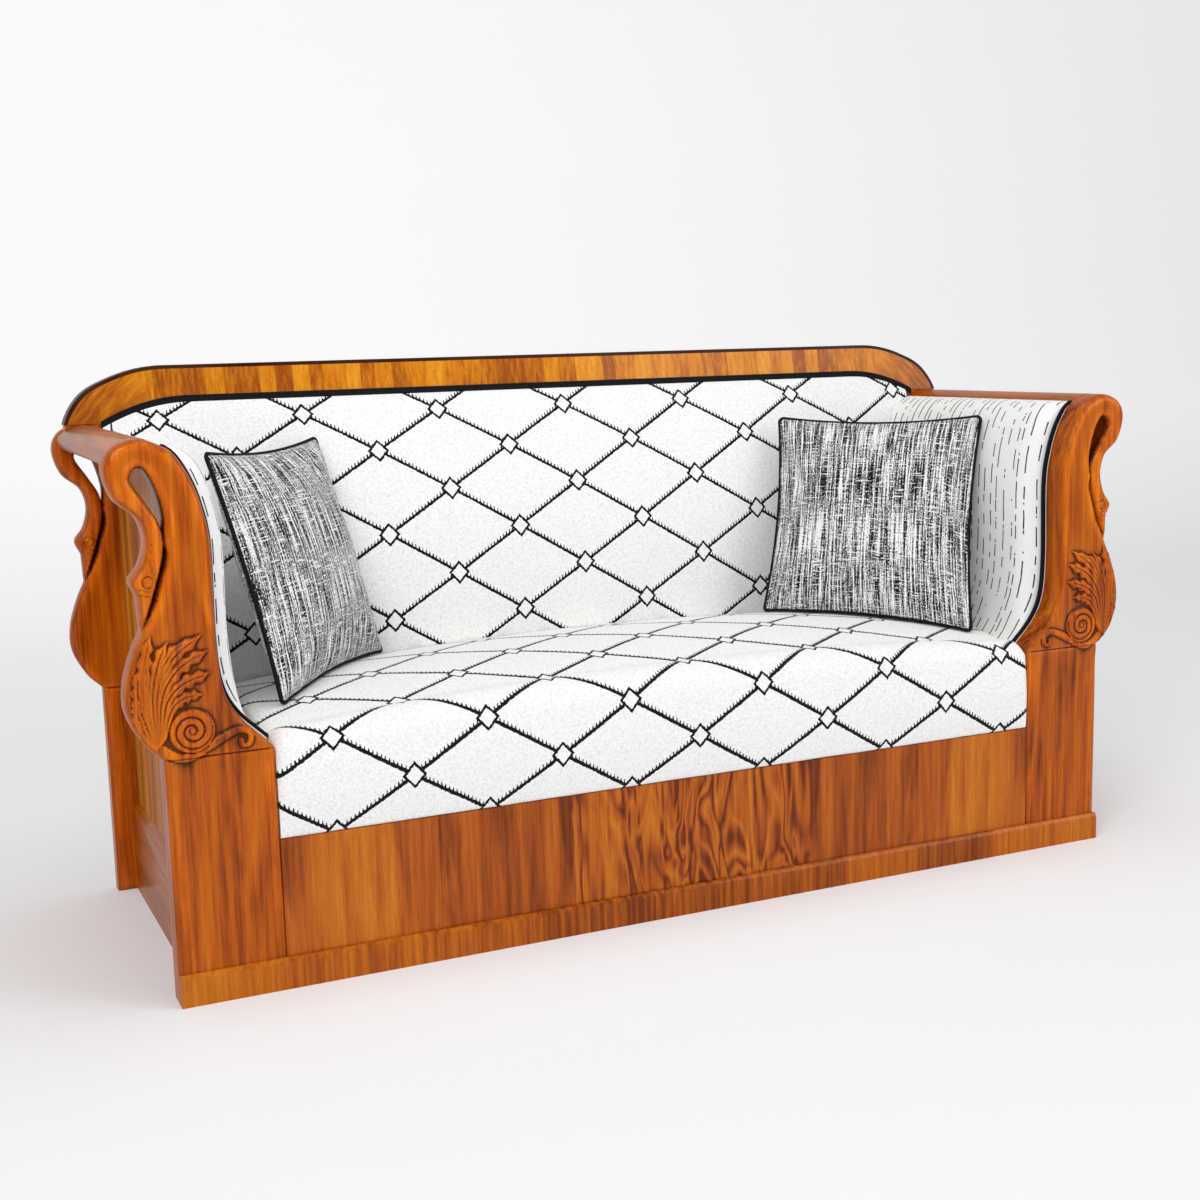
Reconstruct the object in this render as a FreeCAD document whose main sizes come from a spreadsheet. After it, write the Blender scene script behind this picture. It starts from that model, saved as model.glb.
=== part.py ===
import FreeCAD, Part
import math
import os
import re

# A Biedermeier sofa with swan-neck arms, in walnut veneer on a softwood frame.
# X runs across the sofa, the front faces -Y and Z is up. The origin is on the floor under the middle.
# Left and right are named as seen from the front. All sizes are in millimetres, rake and turns in degrees.
V = FreeCAD.Vector

SIZES = {
    "half_width": 950,
    "post_inner": 771,
    "depth": 696,
    "board_thick": 50,
    "rear_thick": 34,
    "groove_deep": 22,
    "relief": 5,
    "ease": 6,
    "volute_radius": 37,
    "volute_rise": 9,
    "plinth_height": 54,
    "plinth_proud": 10,
    "plinth_bevel": 5,
    "plinth_hollow": 1.5,
    "apron_top": 256,
    "apron_thick": 22,
    "apron_setback": 1,
    "tongue": 12,
    "tenon": 20,
    "cheek": 5,
    "shoulder": 8,
    "rail_base": 192,
    "rail_thick": 32,
    "side_rail_thick": 48,
    "panel_face": 900,
    "panel_thick": 12,
    "foot_thick": 13,
    "foot_height": 138,
    "moulding_top": 178,
    "moulding_bow": 3.5,
    "moulding_middle": 161,
    "arm_base": 879,
    "arm_top": 927,
    "crest_base": 928,
    "crest_low": 974,
    "crest_high": 1034,
    "crest_front": 284,
    "crest_thick": 38,
    "crest_end": 992,
    "crest_foot": 927,
    "crest_flat": 805,
    "back_rake": 10.5,
    "back_foot": 164,
    "stile_thick": 34,
    "stile_width": 44,
    "stile_outer": 758,
    "upright_place": 250,
    "back_rail_low": 400,
    "back_rail_high": 460,
    "base_rail_low": 40,
    "base_rail_thick": 24,
    "outside_half": 838,
    "cloth": 3,
    "gap": 0.3,
    "gimp_width": 10,
    "gimp_thick": 3,
    "gimp_end": 915,
    "seat_half": 770.5,
    "seat_drop": 45,
    "well_half": 735,
    "back_half": 905,
    "strap_top": 950,
    "strap_width": 60,
    "strap_thick": 2,
    "stretcher_place": 160,
    "stretcher_width": 30,
    "spring_radius": 44,
    "spring_waist": 30,
    "spring_turns": 2.5,
    "spring_pitch": 320,
    "spring_middle": -70,
    "spring_reach": 115,
    "wire": 5,
    "hessian_height": 392,
    "cushion_half": 226,
    "cushion_round": 14,
    "cushion_draw": 14,
    "cushion_crown": 62,
    "cord_radius": 4,
}

# The swan board's outline, seen from the front: distance out from the middle and height above the floor.
BULB = [(980, 444), (1002, 492), (1001, 540), (986, 588), (970, 622)]
BEAK_ROOT = (972, 676)
HEAD = [(982, 703), (965, 729), (956, 766)]
NECK = [(966, 803), (998, 833), (1012, 880), (997, 913), (959, 927)]
INNER_EDGE = [(919, 913), (900, 897), (879, 860), (864, 815), (854, 750), (855, 600), (848, 520), (824, 470)]
SHOULDER = (774, 417)
POST_HEAD = 413
LOOP = [(927, 772), (934, 797), (952, 828), (972, 862), (965, 879), (952, 878), (937, 850), (926, 806)]
BEAK_SLOT = [(928, 768), (932, 738), (941, 706), (954, 668), (968, 628)]
HEAD_SLOT = [(968, 628), (947, 666), (934, 704), (924, 740), (928, 768)]
VOLUTE = (904, 458)

# The acanthus leaf: lobes fanned from one root, each with its tip and the middles of its edges, and a tail.
LEAF_ROOT = (950, 432)
LOBES = [((876, 604), (952, 566), (918, 572)), ((868, 566), (940, 532), (912, 544)),
         ((872, 532), (930, 502), (906, 516)), ((924, 608), (966, 546), (944, 540)),
         ((953, 616), (978, 536), (960, 528)), ((977, 588), (989, 500), (972, 490))]
TAIL_ROOT, TAIL = (925, 424), ((826, 432), (872, 408), (868, 427))

# The arm rail's section, with its base and top in the sheet.
ARM_INNER, ARM_OUTER, ARM_CROWN = 889, 985, 964
ARM_SIDE, ARM_BROW, ARM_EAVE = (1003, 893), (994, 912), (925, 914)

# The arm's padded face from the rail's eave down to the seat, and how an inset moves each point out and down.
ARM_FACE = [(919, 913), (882, 906), (850, 880), (829, 820), (817, 740), (817, 600), (810, 510), (798, 455),
            (775, 420)]
ARM_INSET = [(0, 1), (0.3, 1), (0.7, 0.7), (1, 0.2), (1, 0), (1, 0), (1, 0), (1, 0), (1, 0)]

# The crest's shoulder, and the bead's width across and down from its end to its level top.
CREST_SHOULDER = [(962, 978), (894, 1016)]
BEAD_WIDTH = [(7, 0), (6, 5), (4, 6), (1, 7)]

# The seat seen from the side: depth behind the boards' face, height, and how much it sinks towards the ends.
SEAT_SIDE = [(2, 256, 0), (-8, 345, 0), (-2, 425, 0.3), (16, 455, 0.6), (62, 467, 0.85),
             (270, 492, 1), (501, 466, 1)]
# How far a layer's inset moves each of those points back and down.
SEAT_INSET = [(1, 0), (1, 0), (1, 0), (0.7, 0.7), (0, 1), (0, 1), (0, 1)]

# The back's padding ahead of its leaning frame, from under the crest over the lumbar to behind the seat.
BACK_DEPTH = [10, 50, 65, 50, 22]
LUMBAR, BACK_LOW = 660, 540

# The two loose cushions: middle of the cushion, turn about Z and lean back, placed across the corners.
CUSHIONS = {"left": ((-625, 14, 676), 49.6, 16.0), "right": ((612, -18, 681.5), -42.7, 24.2)}

# Depths at which the frame's pieces meet.
FRONT = "(plinth_proud - depth / 2)"
BOARD_BACK = f"({FRONT} + board_thick)"
REAR_FRONT = "(depth / 2 - rear_thick)"
APRON_FRONT = f"({FRONT} + apron_setback)"
APRON_BACK = f"({APRON_FRONT} + apron_thick)"
SEAT_RAIL_BACK = f"({APRON_BACK} + rail_thick)"
PANEL_INNER = "(panel_face - panel_thick)"
SIDE_RAIL_INNER = "(panel_face - panel_thick - side_rail_thick)"
BACK_RAIL_FRONT = "(back_foot - shoulder)"
BACK_RAIL_BACK = "(back_foot + stile_thick + shoulder)"
WELL_FRONT = f"({BOARD_BACK} + cloth)"
WELL_BACK = f"({BACK_RAIL_FRONT} - shoulder - shoulder)"

# Depths and heights of the tongues and tenons, each shared by the two pieces of a joint.
APRON_TONGUE = ((f"{APRON_FRONT} + cheek", f"{APRON_BACK} - cheek"),
                ("plinth_height + tenon", "apron_top - tenon"))
RAIL_TENON = ((f"{APRON_BACK} + cheek", f"{BOARD_BACK} - cheek"),
              ("rail_base + shoulder", "apron_top - shoulder"))
BASE_TENON = ((f"{REAR_FRONT} + cheek", f"{REAR_FRONT} + base_rail_thick - cheek"),
              ("base_rail_low + tenon", "apron_top - tenon"))

doc = FreeCAD.newDocument("biedermeier_sofa")
sheet = doc.addObject("Spreadsheet::Sheet", "Sizes")
for row, (alias, value) in enumerate(SIZES.items(), 1):
    sheet.set(f"A{row}", alias)
    sheet.set(f"B{row}", str(value))
    sheet.setAlias(f"B{row}", alias)
doc.recompute()
parts = {}


def size(alias):
    """The number in one cell of the sheet."""
    return float(sheet.get(alias))


def cells(text):
    """A formula in which every alias refers to its cell."""
    return re.sub(r"[a-z_]+", lambda word: f"Sizes.{word.group()}", text)


def span(side, low, high):
    """A range on X for the right side, or its mirror image for the left."""
    return (low, high) if side > 0 else (f"-{high}", f"-{low}")


def sided(side, points):
    """Points of a right-hand outline, mirrored for the left."""
    return [(side * x, z) for x, z in points]


def line(*points):
    """Straight runs through the points of an outline."""
    ends = [V(x, y, 0) for x, y in points]
    return [Part.LineSegment(a, b) for a, b in zip(ends, ends[1:])]


def arc(start, middle, end):
    """A round stretch of an outline."""
    return [Part.Arc(V(*start, 0), V(*middle, 0), V(*end, 0))]


def biarc(start, start_way, end, end_way):
    """Two round arcs that join two points and keep to the way the line runs at each."""
    chord, ways = end - start, start_way + end_way
    bend = 2 * (1 - start_way.dot(end_way))
    reach = (math.sqrt(chord.dot(ways)**2 + bend * chord.dot(chord)) - chord.dot(ways)) / bend
    first, last = start + start_way * reach, end - end_way * reach
    joint = (first + last) * 0.5
    arcs = []
    for a, corner, b in ((start, first, joint), (joint, last, end)):
        middle = (a + b) * 0.5
        rise, half_chord = (corner - middle).Length, (b - a).Length / 2
        bow = half_chord * math.tan(math.atan2(rise, half_chord) / 2)
        arcs.append(Part.Arc(a, middle + (corner - middle) * (bow / rise), b))
    return arcs


def curve(*points):
    """A smooth line through the points of an outline, made of tangent arcs."""
    at = [V(x, y, 0) for x, y in points]
    chords = [b - a for a, b in zip(at, at[1:])]
    ways = [(u / u.dot(u) + v / v.dot(v)).normalize() for u, v in zip(chords, chords[1:])]
    for place, chord, way in ((0, chords[0], ways[0]), (len(at), chords[-1], ways[-1])):
        ways.insert(place, (chord * (2 * way.dot(chord) / chord.dot(chord)) - way).normalize())
    return [piece for i in range(len(chords)) for piece in biarc(at[i], ways[i], at[i + 1], ways[i + 1])]


def new_body(label):
    """A sub-part made of features, under the name of its node."""
    body = doc.addObject("PartDesign::Body", label)
    body.Label = label
    parts[label] = body
    return body


def block(body, kind, x, y, z):
    """A box between two formulas on each axis, added to a body or cut from it."""
    feature = body.newObject(f"PartDesign::{kind}Box", f"{kind}Box")
    for name, axis, (low, high) in zip(("Length", "Width", "Height"), "xyz", (x, y, z)):
        feature.setExpression(name, cells(f"{high} - ({low})"))
        feature.setExpression(f"Placement.Base.{axis}", cells(low))
    return feature


def sketch(body, plane, offset, outline):
    """An outline on one of the body's own planes, moved along the plane's normal."""
    drawing = body.newObject("Sketcher::SketchObject", "Outline")
    origin_plane = next(f for f in body.Origin.OriginFeatures if f.Role == plane)
    drawing.AttachmentSupport = (origin_plane, "")
    drawing.MapMode = "FlatFace"
    drawing.setExpression("AttachmentOffset.Base.z", cells(offset))
    drawing.addGeometry(outline, False)
    return drawing


def front_pad(body, outline, start, length):
    """An outline seen from the front, padded rearwards from one depth."""
    feature = body.newObject("PartDesign::Pad", "Pad")
    feature.Profile = sketch(body, "XZ_Plane", f"-({start})", outline)
    feature.Reversed = True
    feature.setExpression("Length", cells(length))
    return feature


def side_pad(body, outline, start, length):
    """An outline seen from the right, padded across the sofa from one place on X."""
    feature = body.newObject("PartDesign::Pad", "Pad")
    feature.Profile = sketch(body, "YZ_Plane", start, outline)
    feature.setExpression("Length", cells(length))
    return feature


def side_cut(body, outline):
    """An outline seen from the right, cut through the whole width."""
    feature = body.newObject("PartDesign::Pocket", "Pocket")
    feature.Profile = sketch(body, "YZ_Plane", "0", outline)
    feature.Type = "ThroughAll"
    feature.Midplane = True
    return feature


def raked(foot, z):
    """Depth at one height of a line that leans back from its foot at the apron's top."""
    return foot + math.tan(math.radians(size("back_rake"))) * (z - size("apron_top"))


def crest_face(z):
    """Depth of the crest's leaning front face at one height."""
    return size("crest_front") + raked(0, z) - raked(0, size("crest_base"))


def crest_edge(x, below=0.0):
    """Height of the crest's lower edge, which sinks in a parabola towards its ends."""
    past = max(0.0, abs(x) - size("stile_outer")) / (size("crest_foot") - size("stile_outer"))
    return size("crest_low") - (size("crest_low") - size("crest_base")) * past**2 - below


def keep_slab(body, ahead, thick):
    """Cuts a piece of the crest to a leaning slab, from so far ahead of the crest's face."""
    low, high, near, far = 850, 1100, 0, 600
    front = [(crest_face(z) - ahead, z) for z in (low, high)]
    side_cut(body, line((near, low), front[0], front[1], (near, high), (near, low)))
    back = [(y + thick, z) for y, z in front]
    side_cut(body, line(back[0], (far, low), (far, high), back[1], back[0]))


# Swan boards: one plank each, sawn to the swan's outline and pierced in the loop of the neck.
def eased(body, board):
    """Takes the sharp edge off the face of a front board, from the post's head upwards."""
    doc.recompute()
    face = size("plinth_proud") - size("depth") / 2
    edges = []
    for number, edge in enumerate(board.Shape.Edges, 1):
        if all(abs(end.Y - face) < 0.01 and end.Z > POST_HEAD - 1 for end in edge.Vertexes):
            edges.append(f"Edge{number}")
    soft = body.newObject("PartDesign::Chamfer", "Eased")
    soft.Base = (board, edges)
    soft.setExpression("Size", cells("ease"))


def swan_board(label, side, start, thick):
    """A board from one depth rearwards, with mortises for the side panel, the seat rail and the arm rail."""
    body = new_body(label)
    post_head = (size("half_width"), POST_HEAD)
    foot = [(size("post_inner"), 0), (size("half_width"), 0), post_head]
    outline = line(*sided(side, [SHOULDER, (size("post_inner"), POST_HEAD), *foot]))
    outline += curve(*sided(side, [post_head, *BULB]))
    outline += line(*sided(side, [BULB[-1], BEAK_ROOT]))
    outline += curve(*sided(side, [BEAK_ROOT, *HEAD, *NECK, *INNER_EDGE, SHOULDER]))
    outline += curve(*sided(side, [*LOOP, LOOP[0]]))
    board = front_pad(body, outline, start, thick)
    if start == FRONT:
        eased(body, board)
    slot = body.newObject("PartDesign::Pocket", "BeakGroove")
    edges = curve(*sided(side, BEAK_SLOT)) + curve(*sided(side, HEAD_SLOT))
    slot.Profile = sketch(body, "XZ_Plane", f"-({start})", edges)
    slot.setExpression("Length", cells("groove_deep"))
    panel = (PANEL_INNER, "panel_face", "shoulder", "arm_base - shoulder", "tongue")
    seat_rail = (f"({SIDE_RAIL_INNER} + shoulder)", f"({PANEL_INNER} - shoulder)",
                 "rail_base + shoulder", "apron_top - shoulder", "tenon")
    arm_rail = ("(half_width - shoulder)", "(half_width + tenon + shoulder)",
                "arm_base + shoulder", "arm_top - shoulder - shoulder", "tenon")
    for low, high, base, top, deep in (panel, seat_rail, arm_rail):
        y = (REAR_FRONT, f"{REAR_FRONT} + {deep}")
        if start == FRONT:
            y = (f"{BOARD_BACK} - {deep}", BOARD_BACK)
        block(body, "Subtractive", span(side, low, high), y, (base, top))
    return body


def lobe(body, side, root, tip, outer, inner):
    """One pointed lobe of the leaf, raised on the face of the board."""
    ends = sided(side, [root, outer, tip, inner, root])
    front_pad(body, arc(*ends[:3]) + arc(*ends[2:]), f"{FRONT} - relief", "relief")


for name, side in (("left", -1), ("right", 1)):
    board = swan_board(f"front_swan_{name}", side, FRONT, "board_thick")
    block(board, "Subtractive", span(side, "post_inner", "(post_inner + tongue)"), *APRON_TONGUE)
    block(board, "Subtractive", span(side, "post_inner", "(post_inner + tenon)"), *RAIL_TENON)
    for tip, outer, inner in LOBES:
        lobe(board, side, LEAF_ROOT, tip, outer, inner)
    lobe(board, side, TAIL_ROOT, *TAIL)
    volute = [Part.Circle(V(side * VOLUTE[0], VOLUTE[1], 0), V(0, 0, 1), size("volute_radius"))]
    front_pad(board, volute, f"{FRONT} - volute_rise", "volute_rise")
    board = swan_board(f"rear_swan_{name}", side, REAR_FRONT, "rear_thick")
    block(board, "Subtractive", span(side, "post_inner", "(post_inner + tenon)"), *BASE_TENON)

# Arms and sides: a rounded rail joins each pair of swans over a veneered side panel.
for name, side in (("left", -1), ("right", 1)):
    rail = new_body(f"arm_rail_{name}")
    low, top = size("arm_base"), size("arm_top")
    edge = sided(side, [(ARM_INNER, low), (ARM_OUTER, low), ARM_SIDE, ARM_BROW, (ARM_CROWN, top), ARM_EAVE])
    outline = line(*edge[:2]) + arc(*edge[1:4]) + arc(*edge[3:6]) + line(edge[5], edge[0])
    front_pad(rail, outline, BOARD_BACK, f"{REAR_FRONT} - {BOARD_BACK}")
    x = span(side, "(half_width - shoulder)", "(half_width + tenon + shoulder)")
    y = (f"{BOARD_BACK} - tenon", f"{REAR_FRONT} + tenon")
    block(rail, "Additive", x, y, ("arm_base + shoulder", "arm_top - shoulder - shoulder"))
    panel = new_body(f"side_panel_{name}")
    y = (BOARD_BACK, REAR_FRONT)
    block(panel, "Additive", span(side, PANEL_INNER, "panel_face"), y, ("0", "arm_base"))
    y = (f"{BOARD_BACK} - tongue", f"{REAR_FRONT} + tongue")
    block(panel, "Additive", span(side, PANEL_INNER, "panel_face"), y, ("shoulder", "arm_base - shoulder"))
    rail = new_body(f"side_foot_rail_{name}")
    x = span(side, "panel_face", "(panel_face + foot_thick)")
    block(rail, "Additive", x, (BOARD_BACK, REAR_FRONT), ("0", "foot_height"))
    moulding = new_body(f"side_moulding_{name}")
    face, proud = size("panel_face"), size("panel_face") + size("foot_thick")
    low, top = size("foot_height"), size("moulding_top")
    middle = (proud - size("moulding_bow"), size("moulding_middle"))
    edge = sided(side, [(face, low), (proud, low), middle, (face, top)])
    outline = line(*edge[:2]) + arc(*edge[1:]) + line(edge[3], edge[0])
    front_pad(moulding, outline, BOARD_BACK, f"{REAR_FRONT} - {BOARD_BACK}")
    rail = new_body(f"side_seat_rail_{name}")
    x = span(side, SIDE_RAIL_INNER, PANEL_INNER)
    block(rail, "Additive", x, (BOARD_BACK, REAR_FRONT), ("rail_base", "apron_top"))
    x = span(side, f"({SIDE_RAIL_INNER} + shoulder)", f"({PANEL_INNER} - shoulder)")
    y = (f"{BOARD_BACK} - tenon", f"{REAR_FRONT} + tenon")
    block(rail, "Additive", x, y, ("rail_base + shoulder", "apron_top - shoulder"))
    x = span(side, SIDE_RAIL_INNER, f"({SIDE_RAIL_INNER} + tenon)")
    y = (f"{BACK_RAIL_FRONT} + shoulder", f"{BACK_RAIL_BACK} - shoulder")
    block(rail, "Subtractive", x, y, ("rail_base + shoulder", "apron_top - shoulder"))

# Base: plinth, veneered apron, and the seat rails behind it.
plinth = new_body("plinth")
front, back = -size("depth") / 2, -size("depth") / 2 + size("plinth_proud")
top, bevel = size("plinth_height"), size("plinth_bevel")
cove = [(front, top - 2 * bevel), (front + size("plinth_hollow"), top - bevel), (front + bevel, top)]
outline = line((back, 0), (front, 0), cove[0]) + arc(*cove) + line(cove[2], (back, top), (back, 0))
side_pad(plinth, outline, "-half_width", "half_width + half_width")

apron = new_body("front_apron")
block(apron, "Additive", ("-post_inner", "post_inner"), (APRON_FRONT, APRON_BACK), ("0", "apron_top"))
block(apron, "Additive", ("-(post_inner + tongue)", "(post_inner + tongue)"), *APRON_TONGUE)

rail = new_body("front_seat_rail")
y = (APRON_BACK, SEAT_RAIL_BACK)
block(rail, "Additive", ("-post_inner", "post_inner"), y, ("rail_base", "apron_top"))
block(rail, "Additive", ("-(post_inner + tenon)", "(post_inner + tenon)"), *RAIL_TENON)

rail = new_body("back_seat_rail")
x = (f"-{SIDE_RAIL_INNER}", SIDE_RAIL_INNER)
block(rail, "Additive", x, (BACK_RAIL_FRONT, BACK_RAIL_BACK), ("rail_base", "apron_top"))
x = (f"-({SIDE_RAIL_INNER} + tenon)", f"({SIDE_RAIL_INNER} + tenon)")
y = (f"{BACK_RAIL_FRONT} + shoulder", f"{BACK_RAIL_BACK} - shoulder")
block(rail, "Additive", x, y, ("rail_base + shoulder", "apron_top - shoulder"))

rail = new_body("rear_base_rail")
y = (REAR_FRONT, f"{REAR_FRONT} + base_rail_thick")
block(rail, "Additive", ("-post_inner", "post_inner"), y, ("base_rail_low", "apron_top"))
block(rail, "Additive", ("-(post_inner + tenon)", "(post_inner + tenon)"), *BASE_TENON)


def grouped(label, boxes):
    """Like pieces that share one node, as separate solids."""
    group = doc.addObject("Part::Compound", label)
    group.Label = label
    members = []
    for spans in boxes:
        box = doc.addObject("Part::Box", f"{label}_piece")
        for name, axis, (low, high) in zip(("Length", "Width", "Height"), "xyz", spans):
            box.setExpression(name, cells(f"{high} - ({low})"))
            box.setExpression(f"Placement.Base.{axis}", cells(low))
        members.append(box)
    group.Links = members
    parts[label] = group


half = "stretcher_width / 2"
y = (SEAT_RAIL_BACK, BACK_RAIL_FRONT)
z = ("rail_base + shoulder", "rail_base + shoulder + stretcher_width")
grouped("seat_stretchers", [((f"{sign}stretcher_place - {half}", f"{sign}stretcher_place + {half}"), y, z)
                            for sign in ("-", "")])

corner = "(tenon + tenon)"
front_y = (BOARD_BACK, f"{BOARD_BACK} + {corner}")
back_y = (f"{BACK_RAIL_FRONT} - {corner}", BACK_RAIL_FRONT)
z = ("rail_base", "apron_top")
grouped("corner_blocks", [(span(side, f"({SIDE_RAIL_INNER} - {corner})", SIDE_RAIL_INNER), y, z)
                          for side in (-1, 1) for y in (front_y, back_y)])

# Back: stiles and uprights lean back from the seat rail to the crest.
def leaning_post(label, place, width, low, high):
    """A post that leans back, cut level at its foot and head and upright where it meets the outside cloth."""
    body = new_body(label)
    foot, heel = size("back_foot"), size("back_foot") + size("stile_thick")
    limit = size("depth") / 2 - size("rear_thick") - size("strap_thick")
    turn = size("apron_top") + (limit - heel) / math.tan(math.radians(size("back_rake")))
    back = [(heel, low)] if low == size("apron_top") else [(raked(heel, low), low)]
    back += [(limit, turn), (limit, high)] if turn < high else [(raked(heel, high), high)]
    toe = (raked(foot, low), low)
    side_pad(body, line(toe, *back, (raked(foot, high), high), toe), place, width)


for name, place in (("left", "-stile_outer"), ("right", "stile_outer - stile_width")):
    leaning_post(f"back_stile_{name}", place, "stile_width", size("apron_top"), size("crest_low"))
for name, place in (("left", "-upright_place - stile_width"), ("right", "upright_place")):
    leaning_post(f"back_upright_{name}", place, "stile_width", size("apron_top"), size("crest_low"))
inner = "(stile_outer - stile_width)"
for label, low, high in (("left", f"-{inner}", "-upright_place - stile_width"),
                         ("middle", "-upright_place", "upright_place"),
                         ("right", "(upright_place + stile_width)", inner)):
    width = f"{high} - ({low})"
    leaning_post(f"back_lower_rail_{label}", low, width, size("back_rail_low"), size("back_rail_high"))

# Crest: a leaning veneered board with sunk ends, edged with a dark rounded bead.
def low_edge(end, below=0.0):
    """Four places on the crest's lower edge, or so far below it, from one end to where it runs level."""
    reach = end - size("stile_outer")
    places = [end - reach * third / 3 for third in range(4)]
    return [(x, crest_edge(x, below)) for x in places]


crest_top = (size("crest_flat"), size("crest_high"))
bead_out = [(size("crest_end"), size("crest_base")), *CREST_SHOULDER, crest_top]
bead_in = [(x - width, z - drop) for (x, z), (width, drop) in zip(bead_out, BEAD_WIDTH)]


def arched(inner, outer):
    """A board's outline between two curves that end level at both sides."""
    right = line(inner[0], outer[0]) + curve(*outer)
    left = curve(*sided(-1, outer)) + line(*sided(-1, [outer[0], inner[0]]))
    across = line(outer[-1], sided(-1, outer)[-1])
    under = curve(*sided(-1, inner)) + line(sided(-1, inner)[-1], inner[-1]) + curve(*inner)
    return right + across + left + under


DEEP = "(crest_thick + crest_thick + crest_thick)"
START = "crest_front - crest_thick"
crest_low_edge = low_edge(size("crest_foot"))
for label, inner, outer in (("crest_rail", crest_low_edge, bead_in), ("crest_bead", bead_in, bead_out)):
    body = new_body(label)
    front_pad(body, arched(inner, outer), START, DEEP)
    keep_slab(body, 0, size("crest_thick"))

gimp = new_body("back_gimp")
upper = low_edge(size("gimp_end"), size("gap"))
lower = low_edge(size("gimp_end"), size("gap") + size("gimp_width"))
front_pad(gimp, arched(lower, upper), START, DEEP)
keep_slab(gimp, size("gimp_thick"), 2 * size("gimp_thick"))

# Outside back: a plain cloth behind the leaning frame, tacked to the rear boards.
cloth = new_body("outside_back_cover")
side_x, low = size("outside_half"), size("base_rail_low")
edge = low_edge(side_x, size("gap"))
outline = line((side_x, low), edge[0]) + curve(*edge) + line(edge[-1], sided(-1, edge)[-1])
outline += curve(*sided(-1, edge)) + line(*sided(-1, [edge[0], (side_x, low)]), (side_x, low))
front_pad(cloth, outline, f"{REAR_FRONT} - strap_thick", "strap_thick")

# Arm upholstery: a thick pad on each side panel, its cover and the gimp beside the front board.
SEAT_TOP = size("apron_top")


def arm_line(out):
    """The inner edge of the boards down to the seat, moved so far in."""
    points = [*INNER_EDGE, (SHOULDER[0] + 1, SHOULDER[1] + 3)]
    return [(x - out, z) for x, z in points]


def arm_face(side, inset):
    """The face of the arm's padding, or of a layer so far inside it."""
    moved = [(x + inset * out, z - inset * down) for (x, z), (out, down) in zip(ARM_FACE, ARM_INSET)]
    return sided(side, moved)


def arm_pad(body, outline):
    """Pads an arm's outline from behind the gimp to the rear boards and ends it at the leaning back."""
    start = f"({BOARD_BACK} + gimp_width + gap + gap)"
    front_pad(body, outline, start, f"{REAR_FRONT} - {start}")
    foot = size("back_foot") - size("gap")
    low, high, far = 100, 1000, 600
    edge = [(raked(foot, z), z) for z in (low, high)]
    side_cut(body, line(edge[0], (far, low), (far, high), edge[1], edge[0]))


for name, side in (("left", -1), ("right", 1)):
    face, lining = arm_face(side, 0), arm_face(side, size("cloth"))
    outline = curve(*face) + line(face[-1], (face[-1][0], SEAT_TOP), (lining[-1][0], SEAT_TOP), lining[-1])
    outline += curve(*lining[::-1]) + line(lining[0], face[0])
    arm_pad(new_body(f"arm_cover_{name}"), outline)
    face = arm_face(side, size("cloth") + size("gap"))
    wall = side * (size("panel_face") - size("panel_thick"))
    foot = (face[-1][0], SEAT_TOP)
    outline = curve(*face) + line(face[-1], foot, (wall, SEAT_TOP), (wall, size("arm_base") + 1), face[0])
    arm_pad(new_body(f"arm_stuffing_{name}"), outline)
    gimp = new_body(f"arm_gimp_{name}")
    base = size("cloth") + 1
    lower, upper = sided(side, arm_line(base)), sided(side, arm_line(base + size("gimp_thick")))
    outline = curve(*lower) + line(lower[-1], upper[-1])
    outline += curve(*upper[::-1]) + line(upper[0], lower[0])
    front_pad(gimp, outline, f"{BOARD_BACK} + gap", "gimp_width")


def solid_part(label, shape):
    """A sub-part whose shape is made from curves and lofts."""
    feature = doc.addObject("Part::Feature", label)
    feature.Label = label
    feature.Shape = shape
    feature.Placement = FreeCAD.Placement()
    parts[label] = feature
    return feature


def section(edges, place):
    """A closed wire seen from the right, at one place across the sofa."""
    wire = Part.Wire([edge.toShape() for edge in edges])
    upright = FreeCAD.Rotation(V(0, 1, 0), V(0, 0, 1), V(1, 0, 0), "ZXY")
    wire.Placement = FreeCAD.Placement(V(place, 0, 0), upright)
    return wire


def three_arcs(points):
    """Round stretches through points taken three at a time, each starting where the last one ends."""
    return [piece for i in range(0, len(points) - 2, 2) for piece in arc(*points[i:i + 3])]


# Seat: a sprung seat with a rolled front edge, crowned towards the middle.
def seat_path(x, inset):
    """The seat's outline from the apron over the front roll to the back, at one place across it."""
    drop = size("seat_drop") * (abs(x) / size("seat_half"))**2.2
    front = size("plinth_proud") - size("depth") / 2
    return [(front + y + back * inset, z - share * drop - down * inset)
            for (y, z, share), (back, down) in zip(SEAT_SIDE, SEAT_INSET)]


def seat_ring(x, inset, thick):
    """A closed outline of the cover, between two of the seat's outlines."""
    outer, inner = seat_path(x, inset), seat_path(x, inset + thick)
    ends = line(outer[-1], inner[-1]), line(inner[0], outer[0])
    return three_arcs(outer) + ends[0] + three_arcs(inner[::-1]) + ends[1]


def seat_block(x, inset):
    """A closed outline of the stuffing, from the seat's outline down to the rails."""
    outer = seat_path(x, inset)
    return three_arcs(outer) + line(outer[-1], (outer[-1][0], SEAT_TOP), outer[0])


def seat_places(end):
    """Where the seat's outlines stand across it, with the outermost at the given end."""
    inner = [size("seat_half") * share for share in (0.5, 0.8)]
    return [-end, *[-x for x in inner[::-1]], 0, *inner, end]


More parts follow.
